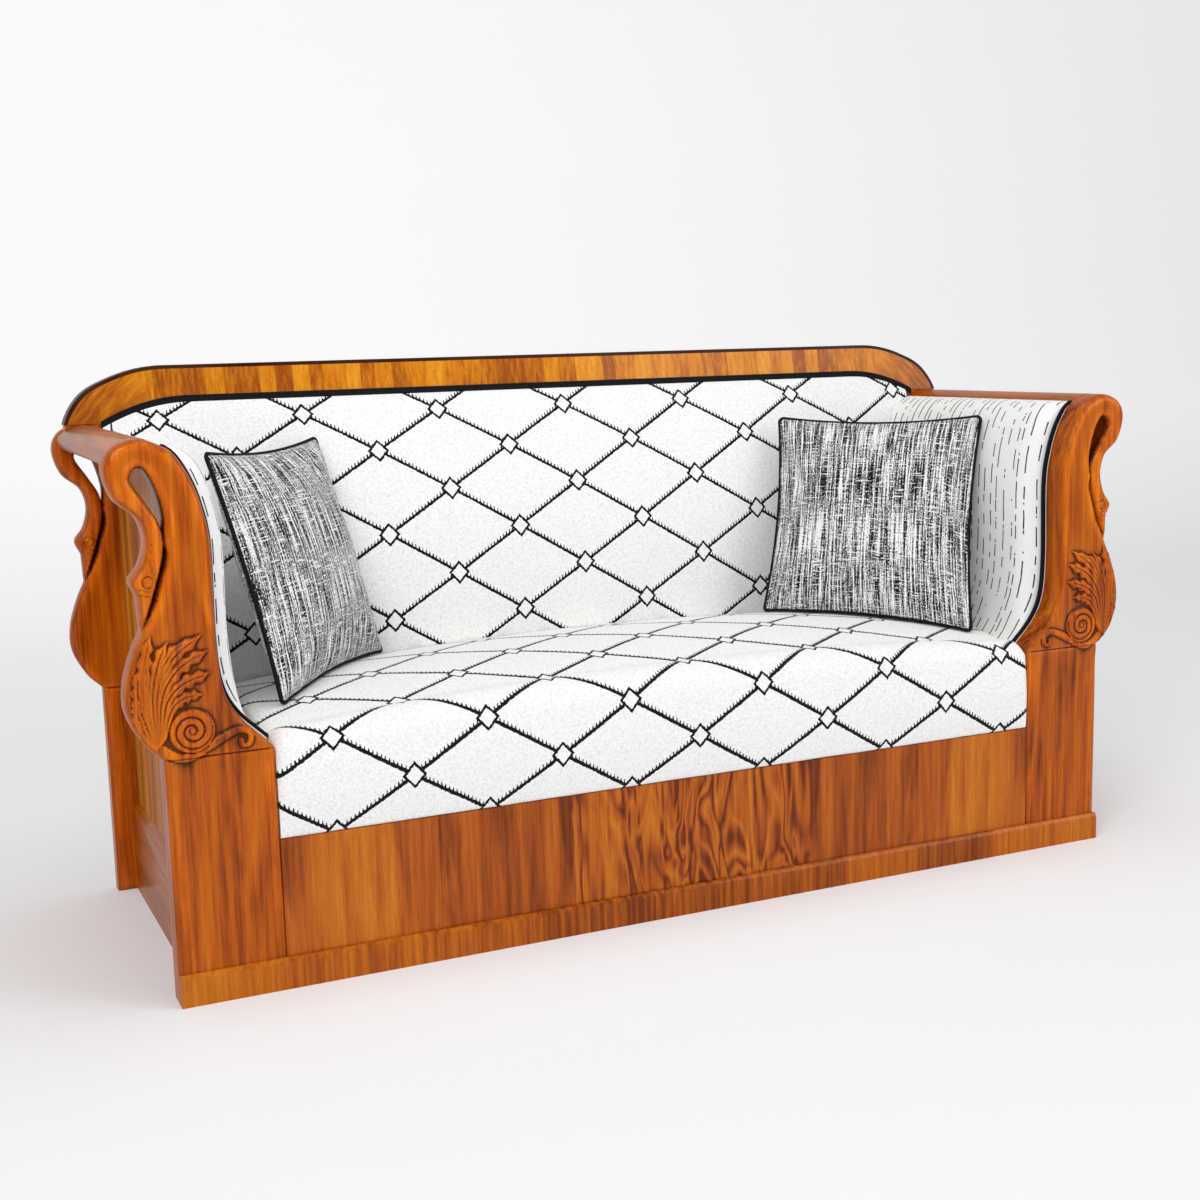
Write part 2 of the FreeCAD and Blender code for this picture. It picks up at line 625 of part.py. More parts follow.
rings = [section(seat_ring(x, 0, size("cloth")), x) for x in seat_places(size("seat_half"))]
solid_part("seat_cover", Part.makeLoft(rings, True, True))
under = size("cloth") + 3 * size("gap")
blocks = [section(seat_block(x, under), x) for x in seat_places(size("seat_half") - under)]
well = doc.addObject("Part::Box", "spring_well")
spans = (("-well_half", "well_half"), (WELL_FRONT, WELL_BACK), ("apron_top", "hessian_height + strap_thick"))
for name, axis, (low, high) in zip(("Length", "Width", "Height"), "xyz", spans):
    well.setExpression(name, cells(f"{high} - ({low})"))
    well.setExpression(f"Placement.Base.{axis}", cells(low))
doc.recompute()
solid_part("seat_stuffing", Part.makeLoft(blocks, True, True).cut(well.Shape))
grouped("seat_hessian", [(*spans[:2], ("hessian_height", "hessian_height + strap_thick"))])

# Webbing under the seat: straps two ways under the rails, crossing where a spring stands.
SPRING_X = [f"({place} * spring_pitch)" for place in (-2, -1, 0, 1, 2)]
SPRING_Y = ["(spring_middle - spring_reach)", "(spring_middle + spring_reach)"]
half = "strap_width / 2"
z = ("rail_base - strap_thick", "rail_base")
across = [((f"-{PANEL_INNER}", PANEL_INNER), (f"{y} - {half}", f"{y} + {half}"), z) for y in SPRING_Y]
z = ("rail_base - strap_thick - strap_thick", "rail_base - strap_thick")
along = [((f"{x} - {half}", f"{x} + {half}"), (APRON_BACK, BACK_RAIL_BACK), z) for x in SPRING_X]
grouped("seat_webbing", across + along)


def spring(low, high):
    """An hourglass coil of square wire, in short straight runs."""
    runs = 6
    steps = int(runs * size("spring_turns"))
    half_wire = size("wire") / 2
    rings = []
    for step in range(steps + 1):
        waist = math.sin(math.pi * step / steps)
        radius = size("spring_radius") - (size("spring_radius") - size("spring_waist")) * waist
        out = FreeCAD.Rotation(V(0, 0, 1), 360 / runs * step).multVec(V(1, 0, 0))
        middle = out * radius + V(0, 0, low + (high - low) * step / steps)
        corners = [(1, 1), (-1, 1), (-1, -1), (1, -1), (1, 1)]
        rings.append(Part.makePolygon([middle + (out * a + V(0, 0, b)) * half_wire for a, b in corners]))
    return Part.makeLoft(rings, True, True)


coil = spring(size("rail_base") + size("wire"), size("hessian_height") - size("wire"))
coils = []
for x in (-2, -1, 0, 1, 2):
    for row in (-1, 1):
        place = V(x * size("spring_pitch"), size("spring_middle") + row * size("spring_reach"), 0)
        copy = coil.copy()
        copy.Placement = FreeCAD.Placement(place, FreeCAD.Rotation())
        coils.append(copy)
solid_part("seat_springs", Part.makeCompound(coils))
pitch = (size("hessian_height") - size("rail_base") - 2 * size("wire")) / size("spring_turns")
print(f"spring: least gap between turns {pitch - size('wire'):.1f} mm")


# Back upholstery: a stuffed pad that swells at the lumbar and thins towards the crest and the arms.
def back_path(x, inset):
    """The back's outline from under the crest down behind the seat, at one place across it."""
    top = crest_edge(x, size("gimp_width") + 1)
    full = 1 - 0.4 * (abs(x) / size("back_half"))**4
    heights = [top, 0.6 * top + 0.4 * LUMBAR, LUMBAR, BACK_LOW, size("back_rail_low")]
    depths = [BACK_DEPTH[0], *[deep * full for deep in BACK_DEPTH[1:]]]
    return [(raked(size("back_foot"), z) - deep + inset, z) for z, deep in zip(heights, depths)]


def back_ring(x):
    """A closed outline of the back's cover."""
    outer, inner = back_path(x, 0), back_path(x, size("cloth"))
    ends = line(outer[-1], inner[-1]), line(inner[0], outer[0])
    return three_arcs(outer) + ends[0] + three_arcs(inner[::-1]) + ends[1]


def back_block(x):
    """A closed outline of the back's stuffing, from under the cover to the webbing."""
    outer = back_path(x, size("cloth") + size("gap"))
    webbing = size("back_foot") - 2 * size("strap_thick") - size("gap")
    wall = [(raked(webbing, z), z) for z in (outer[-1][1], outer[0][1])]
    return three_arcs(outer) + line(outer[-1], *wall, outer[0])


def arm_space(side):
    """Everything outside the face of one arm, from end to end of the sofa."""
    face = arm_face(side, -size("gap"))
    far, deep = side * 1100, size("depth")
    rim = curve(*face) + line(face[-1], (face[-1][0], 0), (far, 0), (far, face[0][1]), face[0])
    wire = Part.Wire([edge.toShape() for edge in rim])
    wire.Placement = FreeCAD.Placement(V(0, deep, 0), FreeCAD.Rotation(V(1, 0, 0), 90))
    return Part.Face(wire).extrude(V(0, -2 * deep, 0))


right = [400, 650, size("stile_outer"), 830, 880, size("back_half")]
places = [*[-x for x in right[::-1]], 0, *right]
for label, outline in (("back_cover", back_ring), ("back_stuffing", back_block)):
    loft = Part.makeLoft([section(outline(x), x) for x in places], True, True)
    solid_part(label, loft.cut(arm_space(-1)).cut(arm_space(1)))


def back_strap(low, high, left, right, layer):
    """A webbing strap on the leaning frame, in one of two layers."""
    foot = size("back_foot") - layer * size("strap_thick")
    near = [(raked(foot, z) - size("strap_thick"), z) for z in (low, high)]
    edges = line(near[0], near[1], (raked(foot, high), high), (raked(foot, low), low), near[0])
    return Part.Face(section(edges, left)).extrude(V(right - left, 0, 0))


half_strap, frame_half = size("strap_width") / 2, size("stile_outer")
low, top = size("back_rail_low"), size("strap_top")
level = [back_strap(z - half_strap, z + half_strap, -frame_half, frame_half, 0) for z in (540, 680, 820)]
upward = [back_strap(low, top, x - half_strap, x + half_strap, 1) for x in (-600, -400, -110, 110, 400, 600)]
solid_part("back_webbing", Part.makeCompound(level + upward))


# Loose cushions: a filled inner, a cover closed by a knife edge, and piping sewn round the seam.
def square_ring(half, height):
    """The corners of a square with drawn-in sides and blunted corners, scaled to one half-width."""
    full, rounding, draw = size("cushion_half"), size("cushion_round"), size("cushion_draw")
    side_points = [(full - draw * (1 - t**2), t * (full - rounding)) for t in (-1, -0.5, 0, 0.5, 1)]
    blunt = full - 0.3 * rounding
    ring = []
    for quarter in range(4):
        turn = FreeCAD.Rotation(V(0, 1, 0), -90 * quarter)
        ring += [turn.multVec(V(x, 0, z) * (half / full)) for x, z in (*side_points, (blunt, blunt))]
    return [corner + V(0, height, 0) for corner in ring]


def flat(*corners):
    """A flat face between its corners."""
    return Part.Face(Part.makePolygon([*corners, corners[0]]))


def pillow(inset, swell):
    """A crowned square, in flat facets from one face over the knife edge of the seam to the other."""
    half = size("cushion_half") - 2 * size("cord_radius") - size("gap") - 1.5 * inset
    crown = size("cushion_crown") - inset
    steps = [*[(width, -height) for width, height in swell], (1, 0), *swell[::-1]]
    rings = [square_ring(half * width, crown * height) for width, height in steps]
    faces = [flat(*rings[0]), flat(*rings[-1])]
    for low, high in zip(rings, rings[1:]):
        faces += [flat(low[i - 1], low[i], high[i], high[i - 1]) for i in range(len(low))]
    skin = Part.makeShell(faces)
    skin.sewShape()
    return Part.Solid(Part.Shell(skin.Faces))


def piping():
    """A cord of eight flats round the seam."""
    corners = square_ring(size("cushion_half") - size("cord_radius"), 0)
    start = (corners[2] + corners[3]) * 0.5
    route = Part.makePolygon([start, *corners[3:], *corners[:3], start])
    ways = [math.radians(45 * k + 22.5) for k in range(9)]
    rim = [start + V(math.cos(a), math.sin(a), 0) * size("cord_radius") for a in ways]
    return route.makePipeShell([Part.makePolygon(rim)], True, False, 1)


SWELL = [(0.26, 1), (0.6, 0.9), (0.82, 0.68), (0.95, 0.34)]
filling = pillow(size("cloth") + size("gap"), [SWELL[0], SWELL[2]])
cover = pillow(0, SWELL).cut(pillow(size("cloth"), SWELL))
shapes = {"filling": filling, "cover": cover, "piping": piping()}
for name, (middle, turn, lean) in CUSHIONS.items():
    pose = FreeCAD.Rotation(V(0, 0, 1), turn) * FreeCAD.Rotation(V(1, 0, 0), -lean)
    for piece, shape in shapes.items():
        solid_part(f"cushion_{piece}_{name}", shape).Placement = FreeCAD.Placement(V(*middle), pose)

# Every object has to be sound before any file is written.
doc.recompute()
for item in doc.Objects:
    if "Invalid" in item.State or "Error" in item.State:
        raise RuntimeError(f"{item.Label} failed: {item.State}")
for label, part in parts.items():
    if part.Shape.isNull() or not part.Shape.isValid() or part.Shape.Volume <= 0:
        raise RuntimeError(f"{label} has no sound shape")
os.makedirs("parts", exist_ok=True)
for label, part in parts.items():
    part.Shape.exportStep(f"parts/{label}.step")
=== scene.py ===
import math

import bmesh
import bpy
import numpy as np
from mathutils import Matrix, Vector, geometry, noise
from mathutils.bvhtree import BVHTree


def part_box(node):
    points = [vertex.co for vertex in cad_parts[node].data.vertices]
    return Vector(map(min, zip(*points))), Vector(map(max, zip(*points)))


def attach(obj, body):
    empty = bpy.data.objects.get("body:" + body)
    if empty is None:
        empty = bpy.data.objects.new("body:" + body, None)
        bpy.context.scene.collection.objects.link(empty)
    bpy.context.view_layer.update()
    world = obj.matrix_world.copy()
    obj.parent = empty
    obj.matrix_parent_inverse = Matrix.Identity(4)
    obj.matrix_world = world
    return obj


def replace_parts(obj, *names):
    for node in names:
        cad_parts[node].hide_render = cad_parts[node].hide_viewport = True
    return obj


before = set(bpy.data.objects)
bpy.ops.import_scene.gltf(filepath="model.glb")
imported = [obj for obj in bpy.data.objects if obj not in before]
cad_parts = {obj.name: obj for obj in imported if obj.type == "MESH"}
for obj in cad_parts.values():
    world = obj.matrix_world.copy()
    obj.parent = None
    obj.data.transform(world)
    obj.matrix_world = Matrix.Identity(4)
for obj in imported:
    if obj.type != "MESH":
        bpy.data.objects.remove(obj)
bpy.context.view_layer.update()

# Swan boards
# Two walnut planks stand at each end, sawn to the outline of a swan and pierced in the loop of its neck.
# The edges are rounded over by hand; the front pair also carries a carved acanthus leaf and volute.
MM = 0.001
POST_INNER, POST_OUTER, POST_HEAD = 771, 950, 413
BULB = [(POST_OUTER, POST_HEAD), (980, 444), (1002, 492), (1001, 540), (986, 588), (970, 622)]
HEAD_AND_NECK = [(972, 676), (982, 703), (965, 729), (956, 766), (966, 803), (998, 833), (1012, 880), (997, 913),
                 (959, 927)]
INNER_EDGE = [(919, 913), (900, 897), (879, 860), (864, 815), (854, 750), (855, 600), (848, 520), (824, 470),
              (774, 417)]
LOOP = [(927, 772), (934, 797), (952, 828), (972, 862), (965, 879), (952, 878), (937, 850), (926, 806)]
SLOT = [(928, 768), (932, 738), (941, 706), (954, 668), (968, 628), (947, 666), (934, 704), (924, 740)]
EYE, VOLUTE, VOLUTE_RADIUS = (957, 702), (904, 458), 37


def linear(code):
    """An sRGB hex colour as linear red, green and blue with a full alpha."""
    parts = [int(code[i:i + 2], 16) / 255 for i in (1, 3, 5)]
    return [c / 12.92 if c <= 0.04045 else ((c + 0.055) / 1.055)**2.4 for c in parts] + [1.0]


def feed(node, inputs):
    """Links or sets the inputs of one node."""
    for key, value in inputs.items():
        if isinstance(value, bpy.types.NodeSocket):
            node.id_data.links.new(value, node.inputs[key])
        else:
            node.inputs[key].default_value = value


def add(tree, kind, inputs=None, out=0, **settings):
    """Adds one node with its settings and inputs and gives back one output."""
    node = tree.nodes.new(kind)
    for name, value in settings.items():
        setattr(node, name, value)
    feed(node, inputs or {})
    return node.outputs[out]


def calc(operation, *values):
    """One step of arithmetic; the first value is an output in the same tree."""
    return add(values[0].id_data, "ShaderNodeMath", dict(enumerate(values)), operation=operation)


def span(*values, **settings):
    """An output moved from one range, two numbers, to another, two more or 0 to 1."""
    return add(values[0].id_data, "ShaderNodeMapRange", dict(enumerate(values)), **settings)


def blend(share, first, second):
    """Two outputs mixed, with a share of the second."""
    return add(first.id_data, "ShaderNodeMix", {0: share, 2: first, 3: second}, data_type="FLOAT")


def tint(share, first, second, way="MIX"):
    """Two colours mixed, with a share of the second."""
    return add(first.id_data, "ShaderNodeMix", {0: share, 6: first, 7: second}, out=2, data_type="RGBA",
               blend_type=way)


def ramped(value, *stops):
    """A colour for an output, between stops that are a value and a colour each."""
    colour = add(value.id_data, "ShaderNodeValToRGB", {0: value})
    elements = colour.node.color_ramp.elements
    while len(elements) < len(stops):
        elements.new(0.5)
    for element, (place, code) in zip(elements, stops):
        element.position, element.color = place, linear(code)
    return colour


def stretched_noise(place, scale, **inputs):
    """Noise with its own scale each way."""
    place = add(place.id_data, "ShaderNodeMapping", {"Vector": place, "Scale": scale})
    return add(place.id_data, "ShaderNodeTexNoise", {"Vector": place, "Scale": 1, **inputs})


def dress(shader, colour, height, strength, depth, inputs):
    """Gives the shader its colour, a bump of some strength and depth in metres, and its other inputs."""
    bump = add(shader.id_data, "ShaderNodeBump", {"Height": height, "Strength": strength, "Distance": depth})
    feed(shader, {"Base Color": colour, "Normal": bump, **inputs})


def new_material(name):
    """An empty node material and its shader."""
    material = bpy.data.materials.new(name)
    material.use_nodes = True
    return material, material.node_tree, material.node_tree.nodes["Principled BSDF"]


def mesh_of(name, form, crease=None):
    """A built form as a mesh with its faces outward, shaded smooth up to a crease in degrees if one is given."""
    bmesh.ops.recalc_face_normals(form, faces=form.faces)
    data = bpy.data.meshes.new(name)
    form.to_mesh(data)
    form.free()
    if crease:
        data.shade_smooth()
        data.set_sharp_from_angle(angle=math.radians(crease))
    return data


def placed(name, data):
    """A new object in the scene."""
    obj = bpy.data.objects.new(name, data)
    bpy.context.scene.collection.objects.link(obj)
    return obj


def new_piece(name, data, material, body="sofa"):
    """A finished mesh as a piece that rides on one body."""
    piece = placed(name, data)
    data.materials.clear()
    data.materials.append(material)
    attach(piece, body)
    return piece


def walnut_grain(place, figure):
    """Slow figure and 8 mm streaks along local Z mixed to one tone, the streaks alone, and 1 mm pores."""
    slow = stretched_noise(place, (16, 16, 2), Detail=4, Distortion=1.0)
    streaks = stretched_noise(place, (120, 120, 4), Detail=6, Roughness=0.65)
    pores = stretched_noise(place, (900, 900, 26), Detail=2)
    tone = blend(1 - figure, slow, streaks)
    return tone, streaks, pores


def shellac(shader, tone, streaks, pores, colours, painted_relief_shading=None, coat=0.22):
    """Thin French polish over the tone: warm colour, dark pores, painted shade in the recesses of a carving and
    painted highlights on its ridges, a soft gloss.
    """
    dark, mid, light = colours
    colour = ramped(tone, (0.36, dark), (0.5, mid), (0.66, light))
    fleck = span(pores, 0.3, 0.46, 0.72, 1.0)
    if painted_relief_shading:
        # Painted shade darkens the deepest places of the carving; a painted highlight lightens its ridges.
        deep = span(painted_relief_shading, 0.53, 0.95, 1.0, 0.2)
        painted_ridge_highlight = span(painted_relief_shading, 0.1, 0.47, 1.35, 1.0)
        fleck = calc("MULTIPLY", calc("MULTIPLY", fleck, deep), painted_ridge_highlight)
    dress(shader, tint(1.0, colour, fleck, "MULTIPLY"), pores, 0.05, 0.0005,
          {"Roughness": span(streaks, 0.3, 0.7, 0.34, 0.44), "Specular IOR Level": 0.1,
           "Coat Weight": coat, "Coat Roughness": 0.1})


def strip_shade(across, width):
    """One shade for each strip of veneer; the strips are about one width in millimetres."""
    tree, count = across.id_data, calc("MULTIPLY", across, 1000 / width)
    shade = add(tree, "ShaderNodeTexVoronoi", {"W": count, "Scale": 1}, out="Color", voronoi_dimensions="1D")
    return add(tree, "ShaderNodeSeparateColor", {0: shade})


def french_polished_walnut(name, colours, turn=(0, 0, 0), strip=0, contrast=0.3, figure=0.5, carved=False,
                           coat=0.22):
    """Walnut under shellac, in one board or in strips of veneer laid side by side."""
    material, tree, shader = new_material(name)
    place = add(tree, "ShaderNodeTexCoord", out="Object")
    place = add(tree, "ShaderNodeMapping", {"Vector": place, "Rotation": turn})
    tone, streaks, pores = walnut_grain(place, figure)
    if strip:
        across = add(tree, "ShaderNodeSeparateXYZ", {0: place}).node.outputs
        tone = blend(contrast, tone, strip_shade(calc("ADD", across[0], across[1]), strip))
    # Carved boards take their painted shade and painted highlights from the hollow attribute.
    painted_relief_shading = add(tree, "ShaderNodeAttribute", out="Fac", attribute_name="hollow") if carved else None
    shellac(shader, tone, streaks, pores, colours, painted_relief_shading, coat)
    return material


def smooth(points, step):
    """A Catmull-Rom line through points, cut into steps of about one length."""
    at = [Vector(p) for p in points]
    at = [2 * at[0] - at[1], *at, 2 * at[-1] - at[-2]]
    line = []
    for a, b, c, d in zip(at, at[1:], at[2:], at[3:]):
        count = max(2, round((c - b).length / step))
        for t in (k / count for k in range(count)):
            bend, twist = 2 * a - 5 * b + 4 * c - d, 3 * b - a - 3 * c + d
            line.append(0.5 * (2 * b + (c - a) * t + bend * t**2 + twist * t**3))
    return [*line, at[-2]]


def away(points, line, closed=False):
    """How far each point is from a line, and how far along the line its nearest place is."""
    line = np.array(line)
    start, end = (line, np.roll(line, -1, 0)) if closed else (line[:-1], line[1:])
    way = end - start
    least, along = np.full(len(points), 1e9), np.zeros(len(points))
    for i in range(len(start)):
        t = np.clip(((points - start[i]) @ way[i]) / (way[i] @ way[i]), 0, 1)
        d = np.hypot(*(points - start[i] - t[:, None] * way[i]).T)
        near = d < least
        least[near], along[near] = d[near], (i + t[near]) / len(start)
    return least, along


def within(points, ring):
    """Which points lie inside a closed line."""
    inside = np.zeros(len(points), bool)
    x, z = points.T
    for (ax, az), (bx, bz) in zip(ring, [*ring[1:], ring[0]]):
        if az != bz:
            inside ^= ((az > z) != (bz > z)) & (x < ax + (z - az) * (bx - ax) / (bz - az))
    return inside


def leaf_lobe(points, path, width):
    """Height of one lobe: it widens from the root, ends in a toothed point and has a vein down its middle."""
    d, t = away(points, smooth(path, 4))
    half = width * np.interp(t, [0, 0.25, 0.6, 0.85, 1], [0.3, 0.62, 1.0, 0.8, 0.12])
    half *= 1 + 0.3 * np.sin(2 * np.pi * 7 * t) * np.clip((t - 0.45) * 3, 0, 1)
    across = np.clip(d / half, 0, 1)
    lift = np.interp(t, [0, 0.5, 0.9, 1], [7.0, 6.4, 7.6, 5.0]) * np.sqrt(1 - across**2)
    vein = 2.6 * np.exp(-(d / 1.6)**2) * np.clip(t * 3, 0, 1)
    return np.where(d < half, np.maximum(lift - vein, 0.4), 0)


def stem(points, path, width, height):
    """Height of a plain round stem that thins out along its path."""
    d, t = away(points, smooth(path, 3))
    half = width * np.interp(t, [0, 0.3, 1], [0.8, 1.0, 0.5])
    return np.where(d < half, height * np.sqrt(np.clip(1 - (d / half)**2, 0, 1)), 0)


def rounded(d, radius):
    """Drop of an edge rounded over with one radius, at some distance in from it."""
    t = np.clip(1 - d / radius, 0, 1)
    return radius * (1 - np.sqrt(1 - t**2))


LOBES = [
    ([(950, 422), (966, 428), (978, 445), (984, 465)], 8), ([(960, 430), (971, 442), (979, 462), (983, 490)], 8),
    ([(962, 433), (977, 458), (986, 487), (987, 526)], 9), ([(962, 435), (978, 482), (985, 517), (983, 562)], 10),
    ([(961, 437), (973, 500), (977, 542), (971, 592)], 12), ([(948, 450), (935, 495), (912, 513), (885, 516)], 10),
    ([(952, 445), (942, 505), (915, 535), (870, 550)], 12), ([(955, 442), (948, 515), (920, 560), (872, 586)], 13),
    ([(958, 440), (955, 520), (930, 575), (881, 612)], 13), ([(957, 440), (956, 520), (938, 575), (912, 603)], 12),
    ([(960, 438), (962, 520), (950, 575), (934, 605)], 12), ([(962, 436), (972, 520), (970, 580), (960, 617)], 12),
]
STEMS = [([(964, 446), (946, 426), (918, 414), (888, 420)], 9, 5.0),
         ([(915, 418), (885, 427), (855, 442), (828, 451), (811, 443), (813, 427), (824, 425), (826, 434)],
          7.5, 5.5)]


def leaf_and_volute(points):
    """Height of the acanthus carving: fanned lobes, a coiled volute and a curled tail."""
    lift = np.zeros(len(points))
    for path, width in LOBES:
        lift = np.maximum(lift, leaf_lobe(points, path, width))
    for path, width, height in STEMS:
        lift = np.maximum(lift, stem(points, path, width, height))
    x, z = (points - VOLUTE).T
    r, angle = np.hypot(x, z), np.arctan2(z, x)
    turn = (r / 13.0 + angle / (2 * np.pi)) % 1.0
    coil = 2.5 + 5.5 * np.sqrt(np.clip(1 - (2 * turn - 1)**2, 0, 1)) * np.clip(1.15 - r / 90, 0, 1)
    coil = np.where(r < 6, 8.2 - 0.07 * r**2, coil) - 6 * np.clip((r - 33) / 4, 0, 1)**2
    return np.where(r < VOLUTE_RADIUS, np.maximum(coil, 0), lift)


def swan_head(points):
    """Height of the eye, the collar of the beak, the feather behind the head and the fine lines on it."""
    r = np.hypot(*(points - EYE).T)
    lift = 2.4 * np.exp(-((r - 5.5) / 1.5)**2) + 2.6 * np.exp(-(r / 2.4)**2)
    lift -= 2.4 * np.exp(-((r - 9) / 1.5)**2)
    for line, deep in (([(980, 684), (960, 680), (942, 671)], 3.2), ([(982, 692), (960, 688), (942, 680)], 2.4),
                       ([(961, 668), (968, 636)], 1.6), ([(957, 772), (962, 745), (973, 722), (979, 708)], 2.6),
                       ([(946, 764), (952, 738), (949, 718), (944, 700)], 1.8),
                       ([(963, 803), (959, 782), (957, 768)], 1.6)):
        lift -= deep * np.exp(-(away(points, smooth(line, 4))[0] / 1.7)**2)
    return lift


def board_rings():
    """The board's outline, the loop of its neck and the groove beside its beak, each a closed line."""
    post = [*((POST_INNER, z) for z in (POST_HEAD - 1, 300, 150, 0)), (860, 0),
            *((POST_OUTER, z) for z in (0, 150, 300))]
    rim = [Vector(p) for p in post]
    rim += smooth(BULB, 3)[:-1] + smooth([BULB[-1], HEAD_AND_NECK[0]], 3)[:-1]
    rim += smooth([*HEAD_AND_NECK, *INNER_EDGE], 3)
    hole = smooth([*LOOP, LOOP[0]], 2.5)[:-1]
    slot = smooth(SLOT[:5], 2.5)[:-1] + smooth([*SLOT[4:], SLOT[0]], 2.5)[:-1]
    return [[tuple(p) for p in ring] for ring in (rim, hole, slot)]


def board_face(rings, carved):
    """Points, edges and faces that fill the outline round the loop, closest together under the carving."""
    outer, loop, _ = rings
    fine, plain = (1.7, 2.6) if carved else (3.4, 3.4)
    grid = [(x, z) for x in np.arange(773, 1015, fine) for z in np.arange(406, 628, fine)]
    grid += [(x, z) for x in np.arange(830, 1015, plain) for z in np.arange(628, 930, plain)]
    grid += [(x, z) for x in np.arange(776, 950, 8) for z in np.arange(4, 405, 8)]
    grid = np.array(grid) + np.random.default_rng(7).uniform(-0.3, 0.3, (len(grid), 2))
    gap = np.minimum.reduce([away(grid, ring, True)[0] for ring in rings])
    grid = grid[within(grid, outer) & ~within(grid, loop) & (gap > 1.1)]
    flat = [Vector(p) for ring in rings for p in ring] + [Vector(p) for p in grid]
    edges, base = [], 0
    for ring in rings:
        edges += [(base + i, base + (i + 1) % len(ring)) for i in range(len(ring))]
        base += len(ring)
    verts, links, faces, _, _, _ = geometry.delaunay_2d_cdt(flat, edges, [], 0, 1e-5)
    points = np.array([tuple(v) for v in verts])
    middles = np.array([points[list(f)].mean(0) for f in faces])
    keep = within(middles, outer) & ~within(middles, loop)
    return points, np.array(links), [f for f, k in zip(faces, keep) if k]


def board_depth(points, rings, d_rim, carved):
    """How far back each point of the face lies: rounded edges, the groove, the head and the carving."""
    _, loop, groove = rings
    x, z = points.T
    radius = np.interp(z, [0, 400, 470, 620, 660], [4, 4, 9, 10, 13])
    depth = rounded(d_rim, radius) + rounded(away(points, loop, True)[0], 13.0)
    d_slot = away(points, groove, True)[0]
    sunk = 7 + 15 * (1 - np.clip(1 - d_slot / 3, 0, 1)**2)
    depth += np.where(within(points, groove), sunk, rounded(d_slot, 7.0))
    depth += 2.2 * np.exp(-((z - POST_HEAD) / 1.6)**2) * (x < POST_OUTER)
    depth -= swan_head(points)
    if carved:
        depth -= leaf_and_volute(points) * np.clip(d_rim / 6, 0, 1)
    return depth


def painted_relief_light(depth, links, d_rim, hollow):
    """Adds painted shade where the face lies deeper than its surroundings and a painted highlight where it stands
    higher, near ones first and then wider ones.
    """
    level, total = depth.copy(), len(depth)
    count = np.maximum(np.bincount(links.ravel(), minlength=total), 1)
    for turn in range(1, 25):
        level = (np.bincount(links[:, 0], level[links[:, 1]], total)
                 + np.bincount(links[:, 1], level[links[:, 0]], total)) / count
        if turn in (4, 24):
            steep = 1.8 if turn == 4 else 7.0
            hollow = hollow + np.clip((depth - level) / steep, -0.3, 0.4) * np.clip((d_rim - 3) / 6, 0, 1)
    return np.clip(hollow, 0, 1)


def swan_board(name, side, front, back, carved):
    """A plank with a carved front, straight sawn walls and a flat back."""
    rings = board_rings()
    points, links, faces = board_face(rings, carved)
    d_rim = away(points, rings[0], True)[0]
    depth = board_depth(points, rings, d_rim, carved)
    # Painted shade and highlight for the relief; the groove beside the beak starts darker, with painted shade in
    # it.
    hollow = painted_relief_light(depth, links, d_rim, 0.5 + 0.3 * within(points, rings[2]))
    form = bmesh.new()
    # Each point of the face keeps its painted shade or highlight in the hollow attribute.
    shade = form.verts.layers.float.new("hollow")
    face_verts = [form.verts.new((side * a * MM, front + dy * MM, h * MM)) for (a, h), dy in zip(points, depth)]
    for vert, deep in zip(face_verts, hollow):
        vert[shade] = deep
    for f in faces:
        form.faces.new([face_verts[i] for i in f])
    loose = [v for v in form.verts if not v.link_faces]
    bmesh.ops.delete(form, geom=loose, context="VERTS")
    border = [e for e in form.edges if len(e.link_faces) == 1]
    wall = bmesh.ops.extrude_edge_only(form, edges=border)["geom"]
    for v in (g for g in wall if isinstance(g, bmesh.types.BMVert)):
        v.co.y = back
        v[shade] = 0.5
    rear = [e for e in wall if isinstance(e, bmesh.types.BMEdge)]
    rear = [e for e in rear if all(abs(v.co.y - back) < 1e-7 for v in e.verts)]
    bmesh.ops.triangle_fill(form, use_beauty=True, use_dissolve=False, edges=rear)
    return new_piece(name, mesh_of(name, form, 50), board_walnut)


board_walnut = french_polished_walnut("walnut, sawn and carved", ("#662601", "#AE5001", "#CC7007"), carved=True)
SIDES, FRONT_BOARD_DEEP = (("left", -1), ("right", 1)), 0.050
for end in ("front", "rear"):
    for name, side in SIDES:
        low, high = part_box(f"{end}_swan_{name}")
        front = high[1] - FRONT_BOARD_DEEP if end == "front" else low[1]
        board = swan_board(f"{end}_board_{name}", side, front, high[1], end == "front")
        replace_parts(board, f"{end}_swan_{name}")

# Sides and arm rails
# Each side is a panel veneered in upright strips, with a planted foot rail and a quarter-round moulding,
# under a solid rounded arm rail that is tenoned into both swans.
def finish_node(node, material):
    """Gives a CAD node its material."""
    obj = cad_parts[node]
    obj.data.materials.clear()
    obj.data.materials.append(material)


# The side walnut is coloured lighter than the other walnut: a painted reflection of the white studio on the glossy
# side seen at a grazing angle.
side_walnut_painted_reflection = french_polished_walnut("walnut side veneer", ("#7E3805", "#C07014", "#DE9C46"), strip=40,
                                     contrast=0.13, figure=0.4, coat=0.1)
rail_walnut = french_polished_walnut("walnut rail, long grain", ("#6D2A01", "#A55003", "#C3700E"),
                                     turn=(math.pi / 2, 0, 0))
for name, _ in SIDES:
    finish_node(f"side_panel_{name}", side_walnut_painted_reflection)
    for piece in ("arm_rail", "side_foot_rail", "side_moulding"):
        finish_node(f"{piece}_{name}", rail_walnut)

